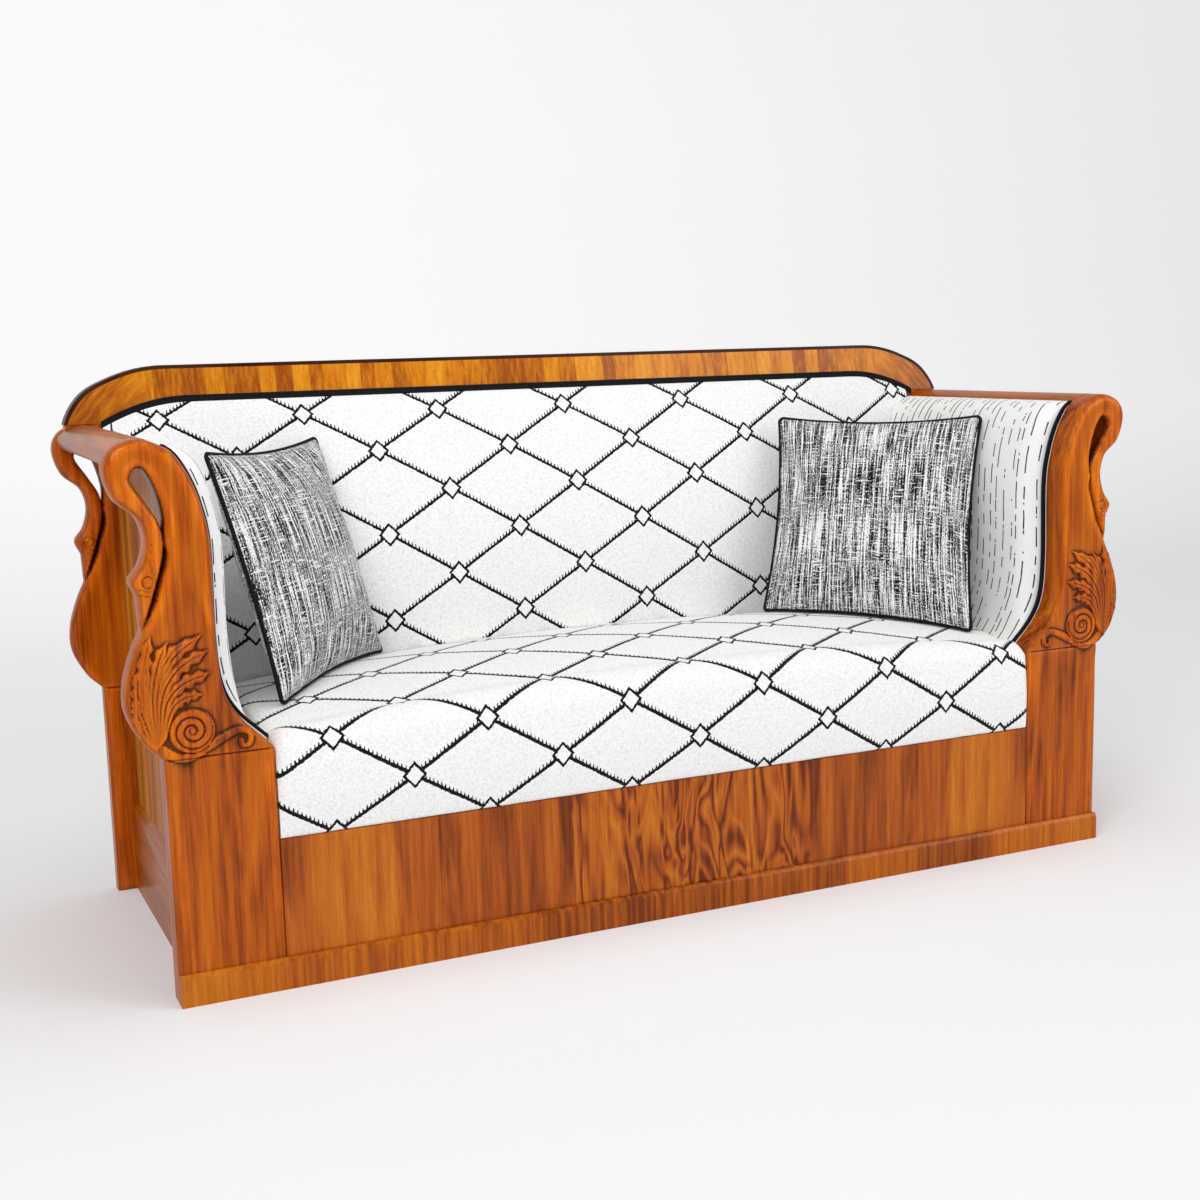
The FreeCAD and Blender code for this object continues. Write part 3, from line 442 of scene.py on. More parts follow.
# Plinth and apron
# A plinth strip is cross-banded in short lengths along the foot of the front. Above it the apron is
# veneered in upright leaves, opened like a book about the middle, where the figure runs into a burr.
def bookmatched_walnut():
    """Leaves 250 mm wide mirrored about the middle: pale sapwood near the ends, a flamed burr in the middle."""
    material, tree, shader = new_material("bookmatched walnut veneer")
    place = add(tree, "ShaderNodeTexCoord", out="Object")
    split = add(tree, "ShaderNodeSeparateXYZ", {0: place}).node.outputs
    folded = calc("ABSOLUTE", calc("SUBTRACT", split[0], 0.004))
    leaf = add(tree, "ShaderNodeCombineXYZ", {0: folded, 1: split[1], 2: split[2]})
    tone, streaks, pores = walnut_grain(leaf, 0.6)
    number = calc("FLOOR", calc("MULTIPLY", folded, 4.0))
    shade = add(tree, "ShaderNodeTexWhiteNoise", {"W": number}, noise_dimensions="1D")
    tone = blend(0.12, tone, shade)
    sap = calc("ABSOLUTE", calc("SUBTRACT", folded, 0.655))
    sap = span(sap, 0.012, 0.06, 0.08, 0.0, interpolation_type="SMOOTHSTEP")
    tone = calc("ADD", tone, sap)
    swirl = stretched_noise(place, (17, 17, 3.6), Detail=2, Distortion=0.9)
    rings = calc("PINGPONG", calc("MULTIPLY", swirl, 13.0), 1.0)
    flame, _, _ = walnut_grain(place, 0.45)
    burr = calc("SUBTRACT", blend(0.22, flame, rings), 0.03)
    inside = span(folded, 0.2495, 0.2505, 1.0, 0.0)
    tone = blend(inside, tone, burr)
    shellac(shader, tone, streaks, pores, ("#642603", "#AC530F", "#C8761A"))
    return material


finish_node("plinth", french_polished_walnut("walnut cross-banding", ("#743004", "#AC560A", "#C87412"), strip=170,
                                             contrast=0.16, figure=0.3))
finish_node("front_apron", bookmatched_walnut())

# Crest rail
# The back ends in a leaning board, veneered across in strips of 10 to 60 mm between two mitred corner pieces,
# with a dark rounded bead on its edge and a small foot at each end scribed to the arm rail.
def crest_strips():
    """Honey and brown walnut strips side by side; past the mitres the grain runs up along the curve."""
    material, tree, shader = new_material("walnut strips across the crest")
    place = add(tree, "ShaderNodeTexCoord", out="Object")
    split = add(tree, "ShaderNodeSeparateXYZ", {0: place}).node.outputs
    tone, streaks, pores = walnut_grain(place, 0.35)
    strips = blend(0.21, tone, strip_shade(split[0], 34))
    folded = calc("ABSOLUTE", split[0])
    slanted = calc("MULTIPLY_ADD", split[2], -0.43, folded)
    corner = span(slanted, 0.4106, 0.4116)
    along = add(tree, "ShaderNodeCombineXYZ", {0: folded, 1: split[1], 2: split[2]})
    along = add(tree, "ShaderNodeMapping", {"Vector": along, "Rotation": (0, 0.75, 0)})
    curved, _, _ = walnut_grain(along, 0.5)
    curved = calc("SUBTRACT", curved, 0.05)
    tone = blend(corner, strips, curved)
    shellac(shader, tone, streaks, pores, ("#9C4C04", "#D07A07", "#E89A20"))
    return material


def skin(form, rings):
    """Faces through rings of equal count, closed at both ends."""
    count = len(rings[0])
    for first, second in zip(rings, rings[1:]):
        for i in range(count):
            j = (i + 1) % count
            form.faces.new((first[i], first[j], second[j], second[i]))
    form.faces.new(rings[0][::-1])
    form.faces.new(rings[-1])


bead_walnut = french_polished_walnut("dark stained bead", ("#1E0B04", "#35170A", "#4C2712"),
                                     turn=(0, math.pi / 2, 0), coat=0.03)
crest_walnut = crest_strips()
finish_node("crest_rail", crest_walnut)
finish_node("crest_bead", bead_walnut)
CREST_FOOT = [(921, 928.4), (921, 915.5), (936, 921), (950, 925), (964, 926.6), (978, 923.5), (990, 915.5),
              (991, 928.4)]
CREST_FOOT_FRONT, CREST_FOOT_REAR = 286, 313
for name, side in SIDES:
    form = bmesh.new()
    rings = [[(side * x, y, z) for x, z in CREST_FOOT] for y in (CREST_FOOT_FRONT, CREST_FOOT_REAR)]
    skin(form, [[form.verts.new(Vector(p) * MM) for p in ring] for ring in rings])
    new_piece(f"crest_foot_{name}", mesh_of(f"crest_foot_{name}", form), crest_walnut)

# Hidden frame
# Under the cloth is a plain softwood frame, planed but not polished, with coppered wire springs.
def plain_softwood():
    """Planed, unpolished pine with broad soft growth bands."""
    material, tree, shader = new_material("planed softwood")
    place = add(tree, "ShaderNodeTexCoord", out="Object")
    bands = stretched_noise(place, (6, 60, 60), Detail=5, Distortion=0.6)
    colour = ramped(bands, (0.3, "#9A7648"), (0.55, "#C7A372"), (0.75, "#D9BC90"))
    dress(shader, colour, bands, 0.15, 0.001, {"Roughness": 0.75})
    return material


def coppered_wire():
    """Drawn steel wire with a thin tarnished copper wash."""
    material, tree, shader = new_material("coppered spring wire")
    place = add(tree, "ShaderNodeTexCoord", out="Object")
    spots = add(tree, "ShaderNodeTexNoise", {"Vector": place, "Scale": 90, "Detail": 4})
    colour = ramped(spots, (0.35, "#5A4436"), (0.65, "#9A6F4C"))
    feed(shader, {"Base Color": colour, "Metallic": 1.0, "Roughness": 0.4})
    return material


softwood = plain_softwood()
for node in ("front_seat_rail", "back_seat_rail", "side_seat_rail_left", "side_seat_rail_right", "seat_stretchers",
             "corner_blocks", "back_stile_left", "back_stile_right", "back_upright_left", "back_upright_right",
             "back_lower_rail_left", "back_lower_rail_middle", "back_lower_rail_right"):
    finish_node(node, softwood)
finish_node("seat_springs", coppered_wire())
finish_node("rear_base_rail", bead_walnut)

# Seat webbing and hessian
# Jute straps are stretched under the seat rails both ways to carry the springs, and a hessian cloth is
# stretched over the springs. Both are tacked; the stuffing lies on the hessian.
STRAP, PLY, CLOTH_PLY = 60, 2, 1.4
SPRING_ROWS, SPRING_COLUMNS = (-185, 45), (-640, -320, 0, 320, 640)
RAIL_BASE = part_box("front_seat_rail")[0][2] / MM
SEAT_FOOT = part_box("front_apron")[1][2] / MM
WELL_HALF, WELL_FRONT, WELL_BACK, HESSIAN = 735, -285, 140, 393


def woven(name, dark, light, thread):
    """A plain weave of one thread spacing in millimetres, crossed warp and weft."""
    material, tree, shader = new_material(name)
    place = add(tree, "ShaderNodeTexCoord", out="Object")
    wave = {"Vector": place, "Scale": 1000 / thread / 6.28, "Distortion": 1.5, "Detail": 2}
    ways = [add(tree, "ShaderNodeTexWave", wave, out="Fac", bands_direction=way) for way in "XYZ"]
    weave = calc("MULTIPLY", ways[0], calc("MAXIMUM", *ways[1:]))
    colour = ramped(weave, (0.0, dark), (0.7, light))
    dress(shader, colour, weave, 0.4, 0.0008, {"Roughness": 0.9})
    return material


def strap_set(name, runs):
    """Flat straps as one piece; a run is its start, its end, the way across it and the way through it."""
    form, total = bmesh.new(), 0.0
    for run in runs:
        start, end, across, through = (Vector(v) for v in run)
        total += (end - start).length * MM
        skin(form, [[form.verts.new((middle + across * (a * STRAP / 2) + through * (b * PLY)) * MM)
                     for a, b in ((-1, 0), (1, 0), (1, 1), (-1, 1))] for middle in (start, end)])
    piece = new_piece(name, mesh_of(name, form), jute)
    return piece


def sheet_mesh(name, half_width, low, high, place):
    """A thin cloth between two edges, with both faces, its hems and a slight unevenness."""
    columns, rows = 84, 40
    form = bmesh.new()
    sides = []
    for ply in (0, 1):
        grid = []
        for i in range(columns + 1):
            x = half_width * (2 * i / columns - 1)
            for j in range(rows + 1):
                t = low(x) + (high(x) - low(x)) * j / rows
                grid.append(form.verts.new(Vector(place(x, t, ply)) * MM))
        sides.append(grid)
    for grid in sides:
        for i in range(columns):
            for j in range(rows):
                a = i * (rows + 1) + j
                form.faces.new((grid[a], grid[a + 1], grid[a + rows + 2], grid[a + rows + 1]))
    rim = [*range(rows + 1), *(i * (rows + 1) + rows for i in range(1, columns + 1)),
           *(columns * (rows + 1) + j for j in range(rows - 1, -1, -1)),
           *(i * (rows + 1) for i in range(columns - 1, 0, -1))]
    for a, b in zip(rim, [*rim[1:], rim[0]]):
        form.faces.new((sides[0][a], sides[0][b], sides[1][b], sides[1][a]))
    return mesh_of(name, form, 50)


jute = woven("jute webbing", "#6B5233", "#A88758", 3.0)
hessian_cloth = woven("jute hessian", "#7A6240", "#B89A6C", 2.4)
low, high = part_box("seat_webbing")
upper, lower = RAIL_BASE - PLY, RAIL_BASE - 2 * PLY
runs = [((low[0] / MM, y, upper), (high[0] / MM, y, upper), (0, 1, 0), (0, 0, 1)) for y in SPRING_ROWS]
runs += [((x, low[1] / MM, lower), (x, high[1] / MM, lower), (1, 0, 0), (0, 0, 1)) for x in SPRING_COLUMNS]
webbing = strap_set("seat_straps", runs)
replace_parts(webbing, "seat_webbing")


def on_springs(x, y, ply):
    """A place on the hessian, slightly uneven."""
    return x, y, HESSIAN + CLOTH_PLY * (ply - 0.5) + 0.3 * noise.noise(Vector((x, y, 3)) * 0.02)


data = sheet_mesh("hessian_sheet", WELL_HALF, lambda x: WELL_FRONT, lambda x: WELL_BACK, on_springs)
hessian = new_piece("hessian_sheet", data, hessian_cloth)
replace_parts(hessian, "seat_hessian")

# Seat
# A sprung seat is covered tightly in white looped cloth, woven with a black lattice. The cloth rolls over
# the front edge, is drawn in at both ends and is tacked along the top of the apron.
BOARD_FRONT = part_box("plinth")[1][1] / MM
SEAT_HALF, SEAT_DROP, SEAT_LATTICE, CLEAR = 770, 45, 675, 0.3
DRY_CLOTH = {"Roughness": 0.95, "Specular IOR Level": 0.2, "Sheen Weight": 0.1}


def bow(a, b, c, count):
    """Points on the arc through three points that aren't in line."""
    (ax, ay), (bx, by), (cx, cy) = a, b, c
    d = 2 * (ax * (by - cy) + bx * (cy - ay) + cx * (ay - by))
    ux = ((ax**2 + ay**2) * (by - cy) + (bx**2 + by**2) * (cy - ay) + (cx**2 + cy**2) * (ay - by)) / d
    uy = ((ax**2 + ay**2) * (cx - bx) + (bx**2 + by**2) * (ax - cx) + (cx**2 + cy**2) * (bx - ax)) / d
    radius = math.hypot(ax - ux, ay - uy)
    start, middle, end = (math.atan2(y - uy, x - ux) for x, y in (a, b, c))
    turn = (end - start) % math.tau
    if (middle - start) % math.tau > turn:
        turn -= math.tau
    angles = [start + turn * k / count for k in range(count + 1)]
    return [(ux + radius * math.cos(t), uy + radius * math.sin(t)) for t in angles]


def lengths(points):
    """How far along a line each of its points is."""
    steps = [math.dist(a, b) for a, b in zip(points, points[1:])]
    return [0.0, *np.cumsum(steps)]


def lofted(name, rings, cloth, material):
    """A closed skin through rings of equal count, with the cloth's own flat coordinates in a UV map."""
    form = bmesh.new()
    layer = form.loops.layers.uv.new("cloth")
    verts = [[form.verts.new(Vector(p) * MM) for p in ring] for ring in rings]
    skin(form, verts)
    flat = {v: Vector(p) * MM for ring, line in zip(verts, cloth) for v, p in zip(ring, line)}
    for face in form.faces:
        for loop in face.loops:
            loop[layer].uv = flat[loop.vert]
    return new_piece(name, mesh_of(name, form, 60), material)


def lattice_boucle(name, across, up, half):
    """White looped wool with a black lattice; across and up are half a diamond, half is half a line, in mm.
    The lines carry upright teeth every 7 mm, and cross in hollow knots 44 mm wide."""
    material, tree, shader = new_material(name)
    flat = add(tree, "ShaderNodeUVMap", uv_map="cloth")
    fuzz = add(tree, "ShaderNodeTexNoise", {"Vector": flat, "Scale": 300, "Detail": 2}, out="Color")
    fuzz = add(tree, "ShaderNodeVectorMath", {0: fuzz, 1: (0.5, 0.5, 0.5)}, operation="SUBTRACT")
    fuzz = add(tree, "ShaderNodeVectorMath", {0: fuzz, "Scale": 0.0045}, operation="SCALE")
    place = add(tree, "ShaderNodeVectorMath", {0: flat, 1: fuzz}, operation="ADD")
    split = add(tree, "ShaderNodeSeparateXYZ", {0: place}).node.outputs
    u = calc("MULTIPLY", split[0], 500 / across)
    v = calc("MULTIPLY", split[1], 500 / up)
    beat = calc("PINGPONG", calc("MULTIPLY", split[0], 2000 / 7.0), 1.0)
    tooth = span(beat, 0.45, 0.8, 2.0, 9.5)
    unit = 2 / math.hypot(1 / across, 1 / up)
    off, marks = [], []
    for sign, way in (("ADD", 1), ("SUBTRACT", -1)):
        line = calc(sign, u, v)
        off.append(calc("SUBTRACT", line, calc("ROUND", line)))
        thick = calc("COMPARE", calc("MULTIPLY", off[-1], unit), 0.0, half)
        rise = calc("MULTIPLY", off[-1], way * 2 * up)
        above = calc("GREATER_THAN", rise, 0.0)
        spike = calc("MULTIPLY", calc("LESS_THAN", rise, tooth), above)
        marks.append(calc("MAXIMUM", thick, spike))
    side = calc("ABSOLUTE", calc("ADD", *off))
    rise = calc("ABSOLUTE", calc("SUBTRACT", *off))
    side = calc("MULTIPLY", side, across / 22)
    knot = calc("MULTIPLY_ADD", rise, up / 24, side)
    lines = calc("MULTIPLY", calc("MAXIMUM", *marks), calc("GREATER_THAN", knot, 0.85))
    black = calc("MAXIMUM", lines, calc("COMPARE", knot, 0.87, 0.145))
    loops = add(tree, "ShaderNodeTexVoronoi", {"Vector": flat, "Scale": 330, "Randomness": 1.0})
    nap = add(tree, "ShaderNodeTexNoise", {"Vector": flat, "Scale": 160, "Detail": 5, "Roughness": 0.7})
    pile = calc("MULTIPLY_ADD", loops, -0.5, nap)
    ground = ramped(pile, (0.0, "#E0E0DE"), (0.3, "#F2F2F0"), (0.7, "#FAFAF9"))
    thread = ramped(pile, (0.1, "#060606"), (0.7, "#1D1C20"))
    colour = tint(black, ground, thread)
    dress(shader, colour, calc("MULTIPLY_ADD", black, 0.4, pile), 0.22, 0.001, DRY_CLOTH)
    return material


def seat_line(x):
    """The cover from the apron over the front roll to the back, at one place across the seat."""
    drop = SEAT_DROP * (abs(x) / SEAT_HALF)**2.2
    tuck = 9 * max(0.0, (abs(x) - SEAT_HALF + 22) / 22)**2.5
    at = [(1.5, SEAT_FOOT + 4), (-8 + tuck, 345), (-2 + tuck, 425 - 0.3 * drop - 0.5 * tuck),
          (16 + tuck, 455 - 0.6 * drop - tuck), (62 + tuck, 467 - 0.85 * drop - tuck),
          (270, 492 - drop - tuck), (501, 466 - drop - tuck)]
    line = [(7, SEAT_FOOT + CLEAR), (3.4, SEAT_FOOT + 1.2)]
    line += bow(*at[:3], 24)[:-1] + bow(*at[2:5], 22)[:-1] + bow(*at[4:], 44)
    return [(BOARD_FRONT + y, z) for y, z in line]


seat_places = [SEAT_HALF * math.sin(math.pi / 2 * t) for t in np.linspace(-1, 1, 161)]
seat_places = sorted([*seat_places, *(way * (WELL_HALF + edge) for way in (-1, 1) for edge in (0.4, 0.8))])
seat_rings, seat_cloth = [], []
for x in seat_places:
    line = seat_line(x)
    at = [Vector((x, y, z)) for y, z in line]
    lift = [0.8 * noise.noise(p * 0.012) + 0.35 * noise.noise(p * 0.05) for p in at]
    ring = [(x, y - 0.4 * s, z + s) for (y, z), s in zip(line, lift)]
    ceiling = HESSIAN + 1.3 if abs(x) < WELL_HALF + 0.6 else SEAT_FOOT + CLEAR
    under = [(line[-1][0], SEAT_FOOT), (WELL_BACK, SEAT_FOOT), (WELL_BACK, ceiling), (WELL_FRONT, ceiling),
             (WELL_FRONT, SEAT_FOOT)]
    seat_rings.append([*ring, *((x, y, z + CLEAR) for y, z in under)])
    u = x + SEAT_LATTICE
    seat_cloth.append([(u, s - 2) for s in lengths(line)] + [(u, -100)] * len(under))
seat_material = lattice_boucle("lattice boucle, seat", 137.75, 83, 3.3)
seat = lofted("seat_pad", seat_rings, seat_cloth, seat_material)
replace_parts(seat, "seat_cover", "seat_stuffing")

# Arms
# The inside of each arm is padded thickly and covered in off-white cloth with broken black stripes that run up
# and over it. The padding rolls out from the board's inner edge and runs level to the back.
LEAN = math.radians(10.5)
RAKE = math.tan(LEAN)
BACK_FOOT = 164
BOARD_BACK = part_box("front_swan_right")[1][1] / MM
ARM_FOOT = 775, 420
ARM_FACE = [(919, 913), (882, 906), (850, 880), (829, 820), (817, 740), (817, 600), (810, 510), (798, 455),
            ARM_FOOT]
ARM_ROLL, ARM_COUNT, ARM_DEEP, GIMP = 50, 70, 600, 10
PANEL_INNER = 887


def even(points, count):
    """The same line cut into equal steps."""
    along = lengths(points)
    at = np.linspace(0, along[-1], count)
    return list(zip(*(np.interp(at, along, [p[i] for p in points]) for i in (0, 1))))


def board_edge(out):
    """The board's inner edge down to the seat, moved so far in."""
    return [(x - out, z) for x, z in smooth([*INNER_EDGE[:-1], ARM_FOOT], 8)]


def striped_cloth():
    """Off-white plain weave, with 3 mm black threads floated in dashes every 21 mm or so."""
    material, tree, shader = new_material("off-white cloth, broken stripes")
    flat = add(tree, "ShaderNodeUVMap", uv_map="cloth")
    split = add(tree, "ShaderNodeSeparateXYZ", {0: flat}).node.outputs
    sway = add(tree, "ShaderNodeTexNoise", {"Vector": flat, "Scale": 25, "Detail": 1})
    row = calc("MULTIPLY", calc("MULTIPLY_ADD", sway, 0.004, split[0]), 1 / 0.021)
    number = calc("FLOOR", row)
    shift = add(tree, "ShaderNodeTexWhiteNoise", {"W": number}, noise_dimensions="1D")
    on_line = calc("COMPARE", calc("FRACT", row), calc("MULTIPLY_ADD", shift, 0.5, 0.25), 0.07)
    run = add(tree, "ShaderNodeCombineXYZ", {0: number, 1: split[1]})
    dash = calc("GREATER_THAN", stretched_noise(run, (7.3, 32, 1), Detail=2), 0.475)
    black = calc("MULTIPLY", on_line, dash)
    nap = add(tree, "ShaderNodeTexNoise", {"Vector": flat, "Scale": 600, "Detail": 3})
    ground = ramped(nap, (0.25, "#EDEDEA"), (0.7, "#FAFAF8"))
    colour = tint(black, ground, linear("#141417"))
    dress(shader, colour, nap, 0.3, 0.0008, DRY_CLOTH)
    return material


arm_material = striped_cloth()
edge_line, face_line = even(board_edge(1.5), ARM_COUNT), even(smooth(ARM_FACE, 8), ARM_COUNT)
down_to_rail = [(ARM_FOOT[0], z) for z in (380, 330, 290, SEAT_FOOT + CLEAR)]
behind = [*((PANEL_INNER, z) for z in (SEAT_FOOT + CLEAR, 600, 876)), (914, 909)]
rolled = GIMP + ARM_ROLL
depths = [0, GIMP, *[GIMP + (k / 16)**2 * ARM_ROLL for k in range(1, 17)], *np.linspace(75, ARM_DEEP, 50)]
for name, side in SIDES:
    arm_rings, arm_cloth, last = [], [], None
    for depth in depths:
        roll = math.sqrt(1 - (1 - np.clip((depth - GIMP) / ARM_ROLL, 0, 1))**2)
        line = [(ex + (fx - ex) * roll, ez + (fz - ez) * roll) for (ex, ez), (fx, fz) in zip(edge_line, face_line)]
        line += down_to_rail
        ring = []
        for x, z in [*line, *behind]:
            reach = BACK_FOOT - 0.6 + RAKE * (z - SEAT_FOOT) - BOARD_BACK
            straight = rolled + (depth - rolled) * (reach - rolled) / (ARM_DEEP - rolled)
            y = BOARD_BACK + (0.4 + depth if depth <= rolled else straight)
            swell = 0.7 * noise.noise(Vector((x, y, z)) * 0.013) * roll
            ring.append((side * (x + swell), y, z))
        gone = [math.dist(a, b) for a, b in zip(ring, arm_rings[-1])] if arm_rings else [0.0] * len(ring)
        last = [a + b for a, b in zip(last, gone)] if last else gone
        along = lengths(line)
        arm_cloth.append(list(zip(last, [*along, *[along[-1]] * len(behind)])))
        arm_rings.append(ring)
    arm = lofted(f"arm_pad_{name}", arm_rings, arm_cloth, arm_material)
    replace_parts(arm, f"arm_cover_{name}", f"arm_stuffing_{name}")

# Back
# A stuffed back in the seat's cloth, full at the small of the back and thin under the crest. Jute straps across
# a leaning frame carry the stuffing, and a plain lining is tacked over the outside.
CREST_LOW, CREST_BASE, STRAIGHT, CREST_END, BACK_HALF = 974, 928, 758, 927, 905
BACK_STEPS, REAR_STEPS = 75, (74, 50, 25, 0)
BACK_LATTICE, BACK_LATTICE_TOP = 539.5, 930
STRAP_HEIGHTS, STRAP_LOW, STRAP_HIGH = (540, 680, 820), 400, 950
STRAP_PLACES = -600, -400, -110, 110, 400, 600


def arm_limit(z):
    """Half the width between the arms at one height."""
    face = sorted((h, x) for x, h in [*face_line, *down_to_rail])
    return np.interp(z, [h for h, _ in face], [x for _, x in face]) - 0.8


def crest_edge(x):
    """Height of the crest's lower edge."""
    past = max(0.0, abs(x) - STRAIGHT) / (CREST_END - STRAIGHT)
    return CREST_LOW - (CREST_LOW - CREST_BASE) * past**2


def leaning(z, ahead=0.0):
    """A place in depth on the front of the leaning frame, or so far ahead of it."""
    return BACK_FOOT + RAKE * (z - SEAT_FOOT) - ahead


def back_line(x):
    """The back from under the crest down behind the seat, at one place across it."""
    top, full = crest_edge(x) - 11, 1 - 0.4 * min(1, abs(x) / BACK_HALF)**4
    at = [(10, top), (50 * full, 0.6 * top + 264), (65 * full, 660), (50 * full, 540), (22 * full, 400)]
    at = [(leaning(z, deep), z) for deep, z in at]
    return bow(*at[:3], 40)[:-1] + bow(*at[2:], 34)


middle_line = back_line(0)
middle_along = lengths(middle_line)
row_start = np.interp(-BACK_LATTICE_TOP, [-z for _, z in middle_line], middle_along)
back_rings, back_cloth = [], []
for share in np.linspace(-1, 1, 141):
    ring, cloth = [], []
    for step in range(BACK_STEPS):
        x = share * BACK_HALF
        for _ in range(3):
            y, z = back_line(x)[step]
            x = share * min(BACK_HALF, arm_limit(z))
        swell = 0.9 * noise.noise(Vector((x, 40, z)) * 0.011) + 0.3 * noise.noise(Vector((x, 9, z)) * 0.05)
        ring.append((x, y + swell, z))
        cloth.append((x + BACK_LATTICE, row_start - np.interp(-z, [-h for _, h in middle_line], middle_along)))
    rear = [(ring[i][0], leaning(ring[i][2], 5), ring[i][2]) for i in REAR_STEPS]
    back_rings.append(ring + rear)
    back_cloth.append(cloth + [cloth[i] for i in REAR_STEPS])
back_material = lattice_boucle("lattice boucle, back", 140.4, 86, 2.7)
back = lofted("back_pad", back_rings, back_cloth, back_material)
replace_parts(back, "back_cover", "back_stuffing")

runs = [((-STRAIGHT, leaning(z), z), (STRAIGHT, leaning(z), z), (0, math.sin(LEAN), math.cos(LEAN)), (0, -1, 0))
        for z in STRAP_HEIGHTS]
runs += [(*((x, leaning(z, PLY), z) for z in (STRAP_LOW, STRAP_HIGH)), (1, 0, 0), (0, -1, 0))
         for x in STRAP_PLACES]
straps = strap_set("back_straps", runs)
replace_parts(straps, "back_webbing")

OUTSIDE_HALF, OUTSIDE_LOW, STILE_OUTER, OUTSIDE_END_LOW = 903, 40, 838, 860
board_line = board_edge(-5)


def outside_low(x):
    """The cloth's lower edge: the base rail, and beside the stiles the inner edge of the rear board."""
    if abs(x) < STILE_OUTER:
        return OUTSIDE_LOW
    return min([z for at, z in board_line if at >= abs(x)], default=OUTSIDE_END_LOW)


def on_outside(x, z, ply):
    """A place on the outside cloth, slightly uneven."""
    return x, outside_y + CLEAR + CLOTH_PLY * ply + 0.25 * noise.noise(Vector((x, 5, z)) * 0.012), z


outside_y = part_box("outside_back_cover")[0][1] / MM
lining = woven("plain cotton lining", "#8F8672", "#C9C1AE", 3.2)
data = sheet_mesh("outside_lining", OUTSIDE_HALF, outside_low, lambda x: crest_edge(x) - 0.4, on_outside)
outside = new_piece("outside_lining", data, lining)
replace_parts(outside, "outside_back_cover")

# Gimp
# Three twisted black cords, sewn side by side, hide the tacks along the front boards and under the crest.
GIMP_RADIUS, GIMP_FOOT, GIMP_HALF, CREST_FACE = 2.6, 419, 924, 284


def cord_tree():
    """Nodes that make a round twisted cord along a path."""
    tree = bpy.data.node_groups.new("cord along a path", "GeometryNodeTree")
    for name, kind in (("Path", "Geometry"), ("Radius", "Float"), ("Material", "Material")):
        tree.interface.new_socket(name, in_out="INPUT", socket_type=f"NodeSocket{kind}")
    tree.interface.new_socket("Cord", in_out="OUTPUT", socket_type="NodeSocketGeometry")
    given = add(tree, "NodeGroupInput").node.outputs
    path = add(tree, "GeometryNodeResampleCurve", {"Curve": given[0], "Length": 0.004}, mode="LENGTH")
    along = add(tree, "GeometryNodeSplineParameter", out="Length")
    path = add(tree, "GeometryNodeStoreNamedAttribute", {0: path, "Name": "along", "Value": along},
               data_type="FLOAT", domain="POINT")
    ring = add(tree, "GeometryNodeCurvePrimitiveCircle", {"Resolution": 10, "Radius": given[1]})
    cord = add(tree, "GeometryNodeCurveToMesh", {"Curve": path, "Profile Curve": ring, "Fill Caps": True})
    cord = add(tree, "GeometryNodeSetShadeSmooth", {0: cord})
    cord = add(tree, "GeometryNodeRealizeInstances", {0: cord})
    cord = add(tree, "GeometryNodeSetMaterial", {"Geometry": cord, "Material": given[2]})
    finished = tree.nodes.new("NodeGroupOutput")
    tree.links.new(cord, finished.inputs[0])
    return tree


def black_braid():
    """Twisted black cotton cord: strands wind round it every 6 mm."""
    material, tree, shader = new_material("black cotton braid")
    along = add(tree, "ShaderNodeAttribute", out="Fac", attribute_name="along")
    place = add(tree, "ShaderNodeTexCoord", out="Object")
    fuzz = add(tree, "ShaderNodeTexNoise", {"Vector": place, "Scale": 500, "Detail": 3})
    turns = calc("MULTIPLY_ADD", fuzz, 0.8, calc("MULTIPLY", along, 1 / 0.003))
    strand = calc("PINGPONG", turns, 1.0)
    colour = ramped(strand, (0.0, "#050506"), (1.0, "#1C1C20"))
    dress(shader, colour, strand, 0.5, 0.0008, {"Roughness": 0.85, "Specular IOR Level": 0.2})
    return material


cord_nodes, braid = cord_tree(), black_braid()


def as_seen(obj):
    """The object with its modifiers worked out."""
    return obj.evaluated_get(bpy.context.evaluated_depsgraph_get())


def cord_piece(name, paths, radius, closed=False, body="sofa"):
    """One or more cords along paths in millimetres, as one plain mesh."""
    curve = bpy.data.curves.new(name, "CURVE")
    curve.dimensions = "3D"
    for path in paths:
        spline = curve.splines.new("POLY")
        spline.points.add(len(path) - 1)
        spline.points.foreach_set("co", [c for p in path for c in (p[0] * MM, p[1] * MM, p[2] * MM, 1)])
        spline.use_cyclic_u = closed
    holder = placed(name + "_path", curve)
    modifier = holder.modifiers.new("cord", "NODES")
    modifier.node_group = cord_nodes
    sockets = {s.name: s.identifier for s in cord_nodes.interface.items_tree if s.in_out == "INPUT"}
    modifier[sockets["Radius"]] = radius * MM
    modifier[sockets["Material"]] = braid
    data = bpy.data.meshes.new_from_object(as_seen(holder))
    bpy.data.objects.remove(holder)
    data.name = name
    return new_piece(name, data, braid, body)


for name, side in SIDES:
    paths = [[(side * x, BOARD_BACK + y, z) for x, z in board_edge(out) if z > GIMP_FOOT]
             for out, y in ((2.8, 2.7), (6.6, 2.9), (4.6, 7.2))]
    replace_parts(cord_piece(f"arm_braid_{name}", paths, GIMP_RADIUS), f"arm_gimp_{name}")
paths = []
for below in (0.6, 4.6, 8.2):
    edge = [(x, crest_edge(x) - below) for x in np.linspace(-GIMP_HALF, GIMP_HALF, 240)]
    paths.append([(x, CREST_FACE + RAKE * (z - CREST_BASE) - 1.0, z) for x, z in edge])
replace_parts(cord_piece("back_braid", paths, GIMP_RADIUS), "back_gimp")

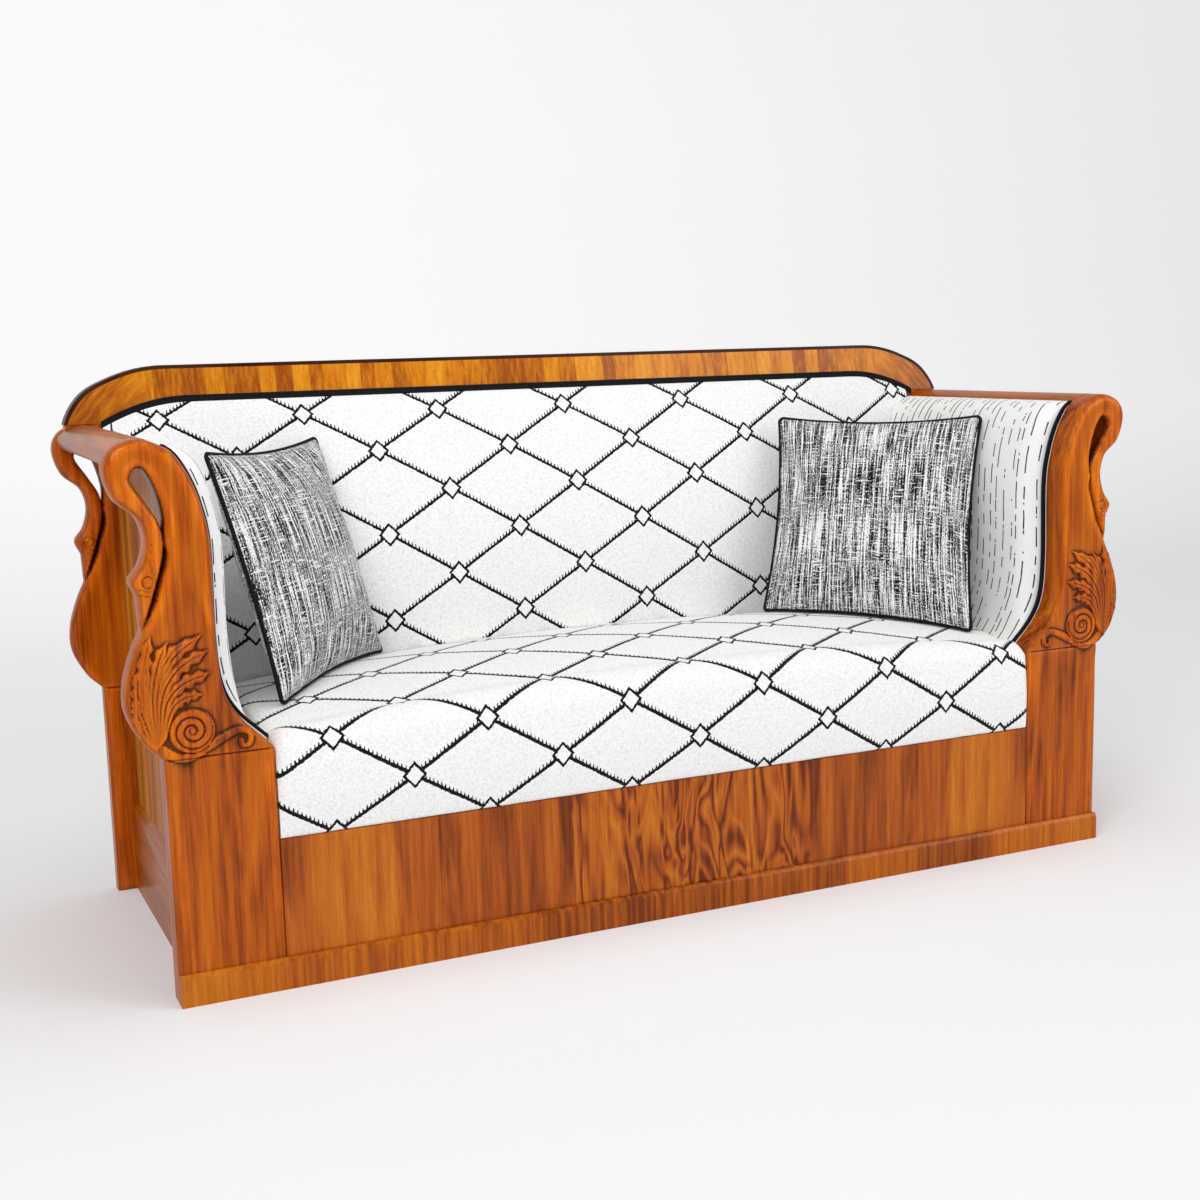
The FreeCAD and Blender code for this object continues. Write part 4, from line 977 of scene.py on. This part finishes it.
# Loose cushions
# Two square feather cushions in black and white tweed lean across the corners, closed by a seam piped in black.
# The filling swells the cover between its seams, and each cushion flattens where it meets the seat, arm or back.
CUSHION_HALF, CUSHION_DRAW, CUSHION_ROUND, CUSHION_CROWN = 218, 15, 12, 48
CUSHIONS = {"left": ((-625, 14, 676), 49.6, 16.0, 3.7, 0.0), "right": ((612, -18, 681.5), -42.7, 24.2, 8.1, 1.0)}
FILLING_FRAMES, REST_REACH, COVER_GRID, SEAM_HALF = 20, 0.08, 0.005, 0.004
PIPING_RADIUS, FILLING_SWELL, FOOT_CLEAR, COVER_CLEAR, PIPING_CLEAR = 4, 0.022, 0.006, 0.002, 0.0055
rests = []
for piece in (seat, back, *(bpy.data.objects[f"arm_pad_{name}"] for name in CUSHIONS)):
    rests.append(BVHTree.FromPolygons([v.co for v in piece.data.vertices],
                                      [tuple(p.vertices) for p in piece.data.polygons]))


def tweed(name, shift):
    """Black and white tweed: upright slubby threads about 4 mm wide, broken by white and black cross threads."""
    material, tree, shader = new_material(name)
    place = add(tree, "ShaderNodeAttribute", out="Vector", attribute_name="flat")
    place = add(tree, "ShaderNodeMapping", {"Vector": place, "Location": (shift, 0, shift)})
    upright = stretched_noise(place, (250, 0, 8), Detail=3, Roughness=0.6)
    speckle = stretched_noise(place, (520, 0, 240), Detail=2)
    cross = stretched_noise(place, (24, 0, 330), Detail=3)
    warp = blend(0.38, upright, speckle)
    colour = ramped(warp, (0.45, "#0C0C10"), (0.486, "#2E2E34"), (0.519, "#C2C2C5"), (0.555, "#F6F6F6"))
    slub = span(cross, 0.585, 0.63)
    colour = tint(slub, colour, linear("#ECEAE4"))
    pick = span(cross, 0.33, 0.37, 1.0, 0.0)
    colour = tint(pick, colour, linear("#16161B"))
    dress(shader, colour, calc("ADD", warp, cross), 0.6, 0.002, DRY_CLOTH)
    return material


def pillow_point(a, b, way):
    """A place on one face of the cushion, in its own frame: across, through and up."""
    x = a * (CUSHION_HALF - CUSHION_DRAW * (1 - b * b))
    z = b * (CUSHION_HALF - CUSHION_DRAW * (1 - a * a))
    corner = CUSHION_HALF - CUSHION_ROUND
    past = math.hypot(max(0, abs(x) - corner), max(0, abs(z) - corner))
    if abs(x) > corner and abs(z) > corner and past > CUSHION_ROUND:
        x, z = (math.copysign(corner + (abs(c) - corner) * CUSHION_ROUND / past, c) for c in (x, z))
    full = max(0.0, (1 - a * a) * (1 - b * b))
    return Vector((x, way * CUSHION_CROWN * full**0.4, z))


def pillow_mesh(name, seed):
    """Two crowned faces that meet at the seam, with slack folds running in from the corners and sides."""
    form, count = bmesh.new(), 90
    for way in (-1, 1):
        grid = {}
        for i in range(count + 1):
            for j in range(count + 1):
                a, b = (math.sin(math.pi / 2 * (2 * k / count - 1)) for k in (i, j))
                p = pillow_point(a, b, way)
                edge = min(1 - abs(a), 1 - abs(b))
                fold = noise.noise(Vector((a * 4, b * 4, seed + way)))
                radial = math.sin(9 * math.atan2(b, a) + 6 * noise.noise(Vector((a, b, seed)) * 2))
                p.y += way * min(1, edge * 8) * (1.0 * fold + 0.8 * radial * (1 - edge))
                grid[i, j] = form.verts.new(p * MM)
        for i in range(count):
            for j in range(count):
                form.faces.new((grid[i, j], grid[i + 1, j], grid[i + 1, j + 1], grid[i, j + 1]))
    bmesh.ops.remove_doubles(form, verts=form.verts, dist=0.0002)
    return mesh_of(name, form)


def plumped(data, most):
    """Fills the cover with pressure, its seam held and no point moving past the most; keeps each flat place."""
    scene = bpy.context.scene
    bag = placed("bag", data)
    remesh = bag.modifiers.new("even mesh", "REMESH")
    remesh.mode, remesh.voxel_size = "VOXEL", COVER_GRID
    bag_mesh = bpy.data.meshes.new_from_object(as_seen(bag))
    bag.modifiers.clear()
    bag.data = bag_mesh
    seam = bag.vertex_groups.new(name="seam")
    seam.add([v.index for v in bag_mesh.vertices if abs(v.co.y) < SEAM_HALF], 1.0, "REPLACE")
    cloth = bag.modifiers.new("filling", "CLOTH")
    cloth.settings.use_pressure = True
    cloth.settings.uniform_pressure_force = 4
    cloth.settings.effector_weights.gravity = 0
    cloth.settings.vertex_group_mass = "seam"
    cloth.settings.shrink_min = -0.008
    cloth.settings.bending_stiffness = 0.3
    cloth.point_cache.frame_end = FILLING_FRAMES
    start = np.empty(len(bag_mesh.vertices) * 3)
    bag_mesh.vertices.foreach_get("co", start)
    x, z = start[0::3] / MM, start[2::3] / MM
    a, b = x / CUSHION_HALF, z / CUSHION_HALF
    for _ in range(4):
        a, b = (x / (CUSHION_HALF - CUSHION_DRAW * (1 - b * b)), z / (CUSHION_HALF - CUSHION_DRAW * (1 - a * a)))
    flat = np.stack([a + 0.12 * a**7, 0 * a, b + 0.12 * b**7], 1) * CUSHION_HALF * MM
    bag_mesh.attributes.new("flat", "FLOAT_VECTOR", "POINT").data.foreach_set("vector", flat.ravel())
    for number in range(1, FILLING_FRAMES + 1):
        scene.frame_set(number)
    moved = np.empty(len(start))
    as_seen(bag).data.vertices.foreach_get("co", moved)
    way = (moved - start).reshape(-1, 3)
    far = np.maximum(np.linalg.norm(way, axis=1), 1e-9)
    way *= np.minimum(1, most / far)[:, None]
    bag.modifiers.clear()
    bag_mesh.vertices.foreach_set("co", start + way.ravel())
    scene.frame_set(1)
    bpy.data.objects.remove(bag)
    return bag_mesh


def settled(point, clear):
    """The same place, or the nearest one that stands clear of the seat, the arms and the back."""
    for rest in rests:
        near, normal, _, far = rest.find_nearest(point)
        if far < REST_REACH and (point - near).dot(normal) < clear:
            point = near + normal * clear
    return point


def slumped(point, world, gaps):
    """The same place, lowered so that the foot of the cushion sinks on to the seat."""
    share = np.clip(0.5 - point.z / MM / (2 * CUSHION_HALF), 0, 1)**1.2
    lower = np.interp(point.x / MM, np.linspace(-CUSHION_HALF, CUSHION_HALF, len(gaps)), gaps)
    return world - Vector((0, 0, lower * share))


for name, (centre, turn, lean, seed, shift) in CUSHIONS.items():
    spin = Matrix.Rotation(math.radians(turn), 4, "Z") @ Matrix.Rotation(math.radians(-lean), 4, "X")
    to_place = Matrix.Translation(Vector(centre) * MM) @ spin
    material = tweed(f"black and white tweed, {name}", shift)
    data = plumped(pillow_mesh(f"cushion_{name}_pillow", seed), FILLING_SWELL)
    gaps = []
    for a in np.linspace(-1, 1, 21):
        _, _, _, far = rests[0].ray_cast(to_place @ (pillow_point(a, -1, 1) * MM), Vector((0, 0, -1)))
        gaps.append(max(0.0, (far or 0) - FOOT_CLEAR))
    for v in data.vertices:
        v.co = settled(slumped(v.co, to_place @ v.co, gaps), COVER_CLEAR)
    data.shade_smooth()
    shape = placed("shape", data)
    finer = shape.modifiers.new("finer", "SUBSURF")
    finer.levels = finer.render_levels = 1
    data = bpy.data.meshes.new_from_object(as_seen(shape))
    bpy.data.objects.remove(shape)
    cushion = new_piece(f"cushion_{name}_pillow", data, material, f"cushion_{name}")
    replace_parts(cushion, f"cushion_cover_{name}", f"cushion_filling_{name}")
    seam, steps = [], np.linspace(-1, 1, 60)[:-1]
    for a, b in [*((t, -1) for t in steps), *((1, t) for t in steps),
                 *((-t, 1) for t in steps), *((-1, -t) for t in steps)]:
        p = pillow_point(a, b, 1) * MM
        seam.append(settled(slumped(p, to_place @ p, gaps), PIPING_CLEAR) / MM)
    piping = cord_piece(f"cushion_{name}_cord", [seam], PIPING_RADIUS, True, f"cushion_{name}")
    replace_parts(piping, f"cushion_piping_{name}")

# Studio
# A white floor that sweeps up into a backdrop, large soft lights and the camera at the photograph's place.
def studio_white():
    """Matt white paper that stays white to the eye and keeps the soft shadow."""
    material, tree, shader = new_material("white paper")
    paths = add(tree, "ShaderNodeLightPath").node.outputs
    seen = calc("MAXIMUM", paths["Is Camera Ray"], paths["Is Glossy Ray"])
    split = add(tree, "ShaderNodeSeparateXYZ", {0: add(tree, "ShaderNodeTexCoord", out="Object")}).node.outputs
    behind = calc("ADD", split[1], split[2])
    glow = calc("MULTIPLY", seen, span(behind, -1.0, 5.0, 0.0, 0.33))
    feed(shader, {"Base Color": linear("#F2F2F3"), "Roughness": 1.0, "Specular IOR Level": 0.0,
                  "Emission Color": linear("#FFFFFF"), "Emission Strength": glow})
    return material


sweep = [(3.0 + 2 * math.sin(t), 2 - 2 * math.cos(t)) for t in np.linspace(0.1, math.pi / 2, 24)]
floor_line = [(-9, 0), (3.0, 0), *sweep, (5, 9)]
data = bpy.data.meshes.new("backdrop")
data.from_pydata([(x, y, z) for y, z in floor_line for x in (-12, 12)], [],
                 [(2 * i, 2 * i + 1, 2 * i + 3, 2 * i + 2) for i in range(len(floor_line) - 1)])
data.shade_smooth()
data.materials.append(studio_white())
backdrop = placed("backdrop", data)

world = bpy.data.worlds.new("studio")
bpy.context.scene.world = world
world.use_nodes = True
world.node_tree.nodes["Background"].inputs[0].default_value = linear("#FBFCFF")
world.node_tree.nodes["Background"].inputs[1].default_value = 0.45
for name, place, aim, size, power in (("key", (-2.6, -3.2, 3.4), (0, 0, 0.5), 2.6, 104),
                                      ("fill", (3.2, -3.4, 2.2), (0.2, 0, 0.5), 2.4, 62),
                                      ("top", (0.2, -0.4, 4.2), (0, 0, 0.4), 3.0, 35)):
    lamp = bpy.data.lights.new(name, "AREA")
    lamp.size, lamp.energy = size, power
    light = placed(name, lamp)
    light.location = place
    light.rotation_euler = (Vector(aim) - Vector(place)).to_track_quat("-Z", "Y").to_euler()

# The photograph's camera: its place, its turn to the right, its tilt down and its slight roll.
EYE_PLACE = (-1.373809, -2.949584, 1.058154)
YAW, PITCH, ROLL = (math.radians(a) for a in (24.584, -8.951, -1.462))
ahead = Vector((math.sin(YAW) * math.cos(PITCH), math.cos(YAW) * math.cos(PITCH), math.sin(PITCH)))
level = Vector((math.cos(YAW), -math.sin(YAW), 0))
over = level.cross(ahead)
right = math.cos(ROLL) * level + math.sin(ROLL) * over
upward = -math.sin(ROLL) * level + math.cos(ROLL) * over
lens = bpy.data.cameras.new("camera")
lens.sensor_width, lens.lens = 36, 49.2537
camera = placed("camera", lens)
camera.matrix_world = Matrix.Translation(EYE_PLACE) @ Matrix((right, upward, -ahead)).transposed().to_4x4()
bpy.context.scene.camera = camera
bpy.context.scene.view_settings.view_transform = "Standard"
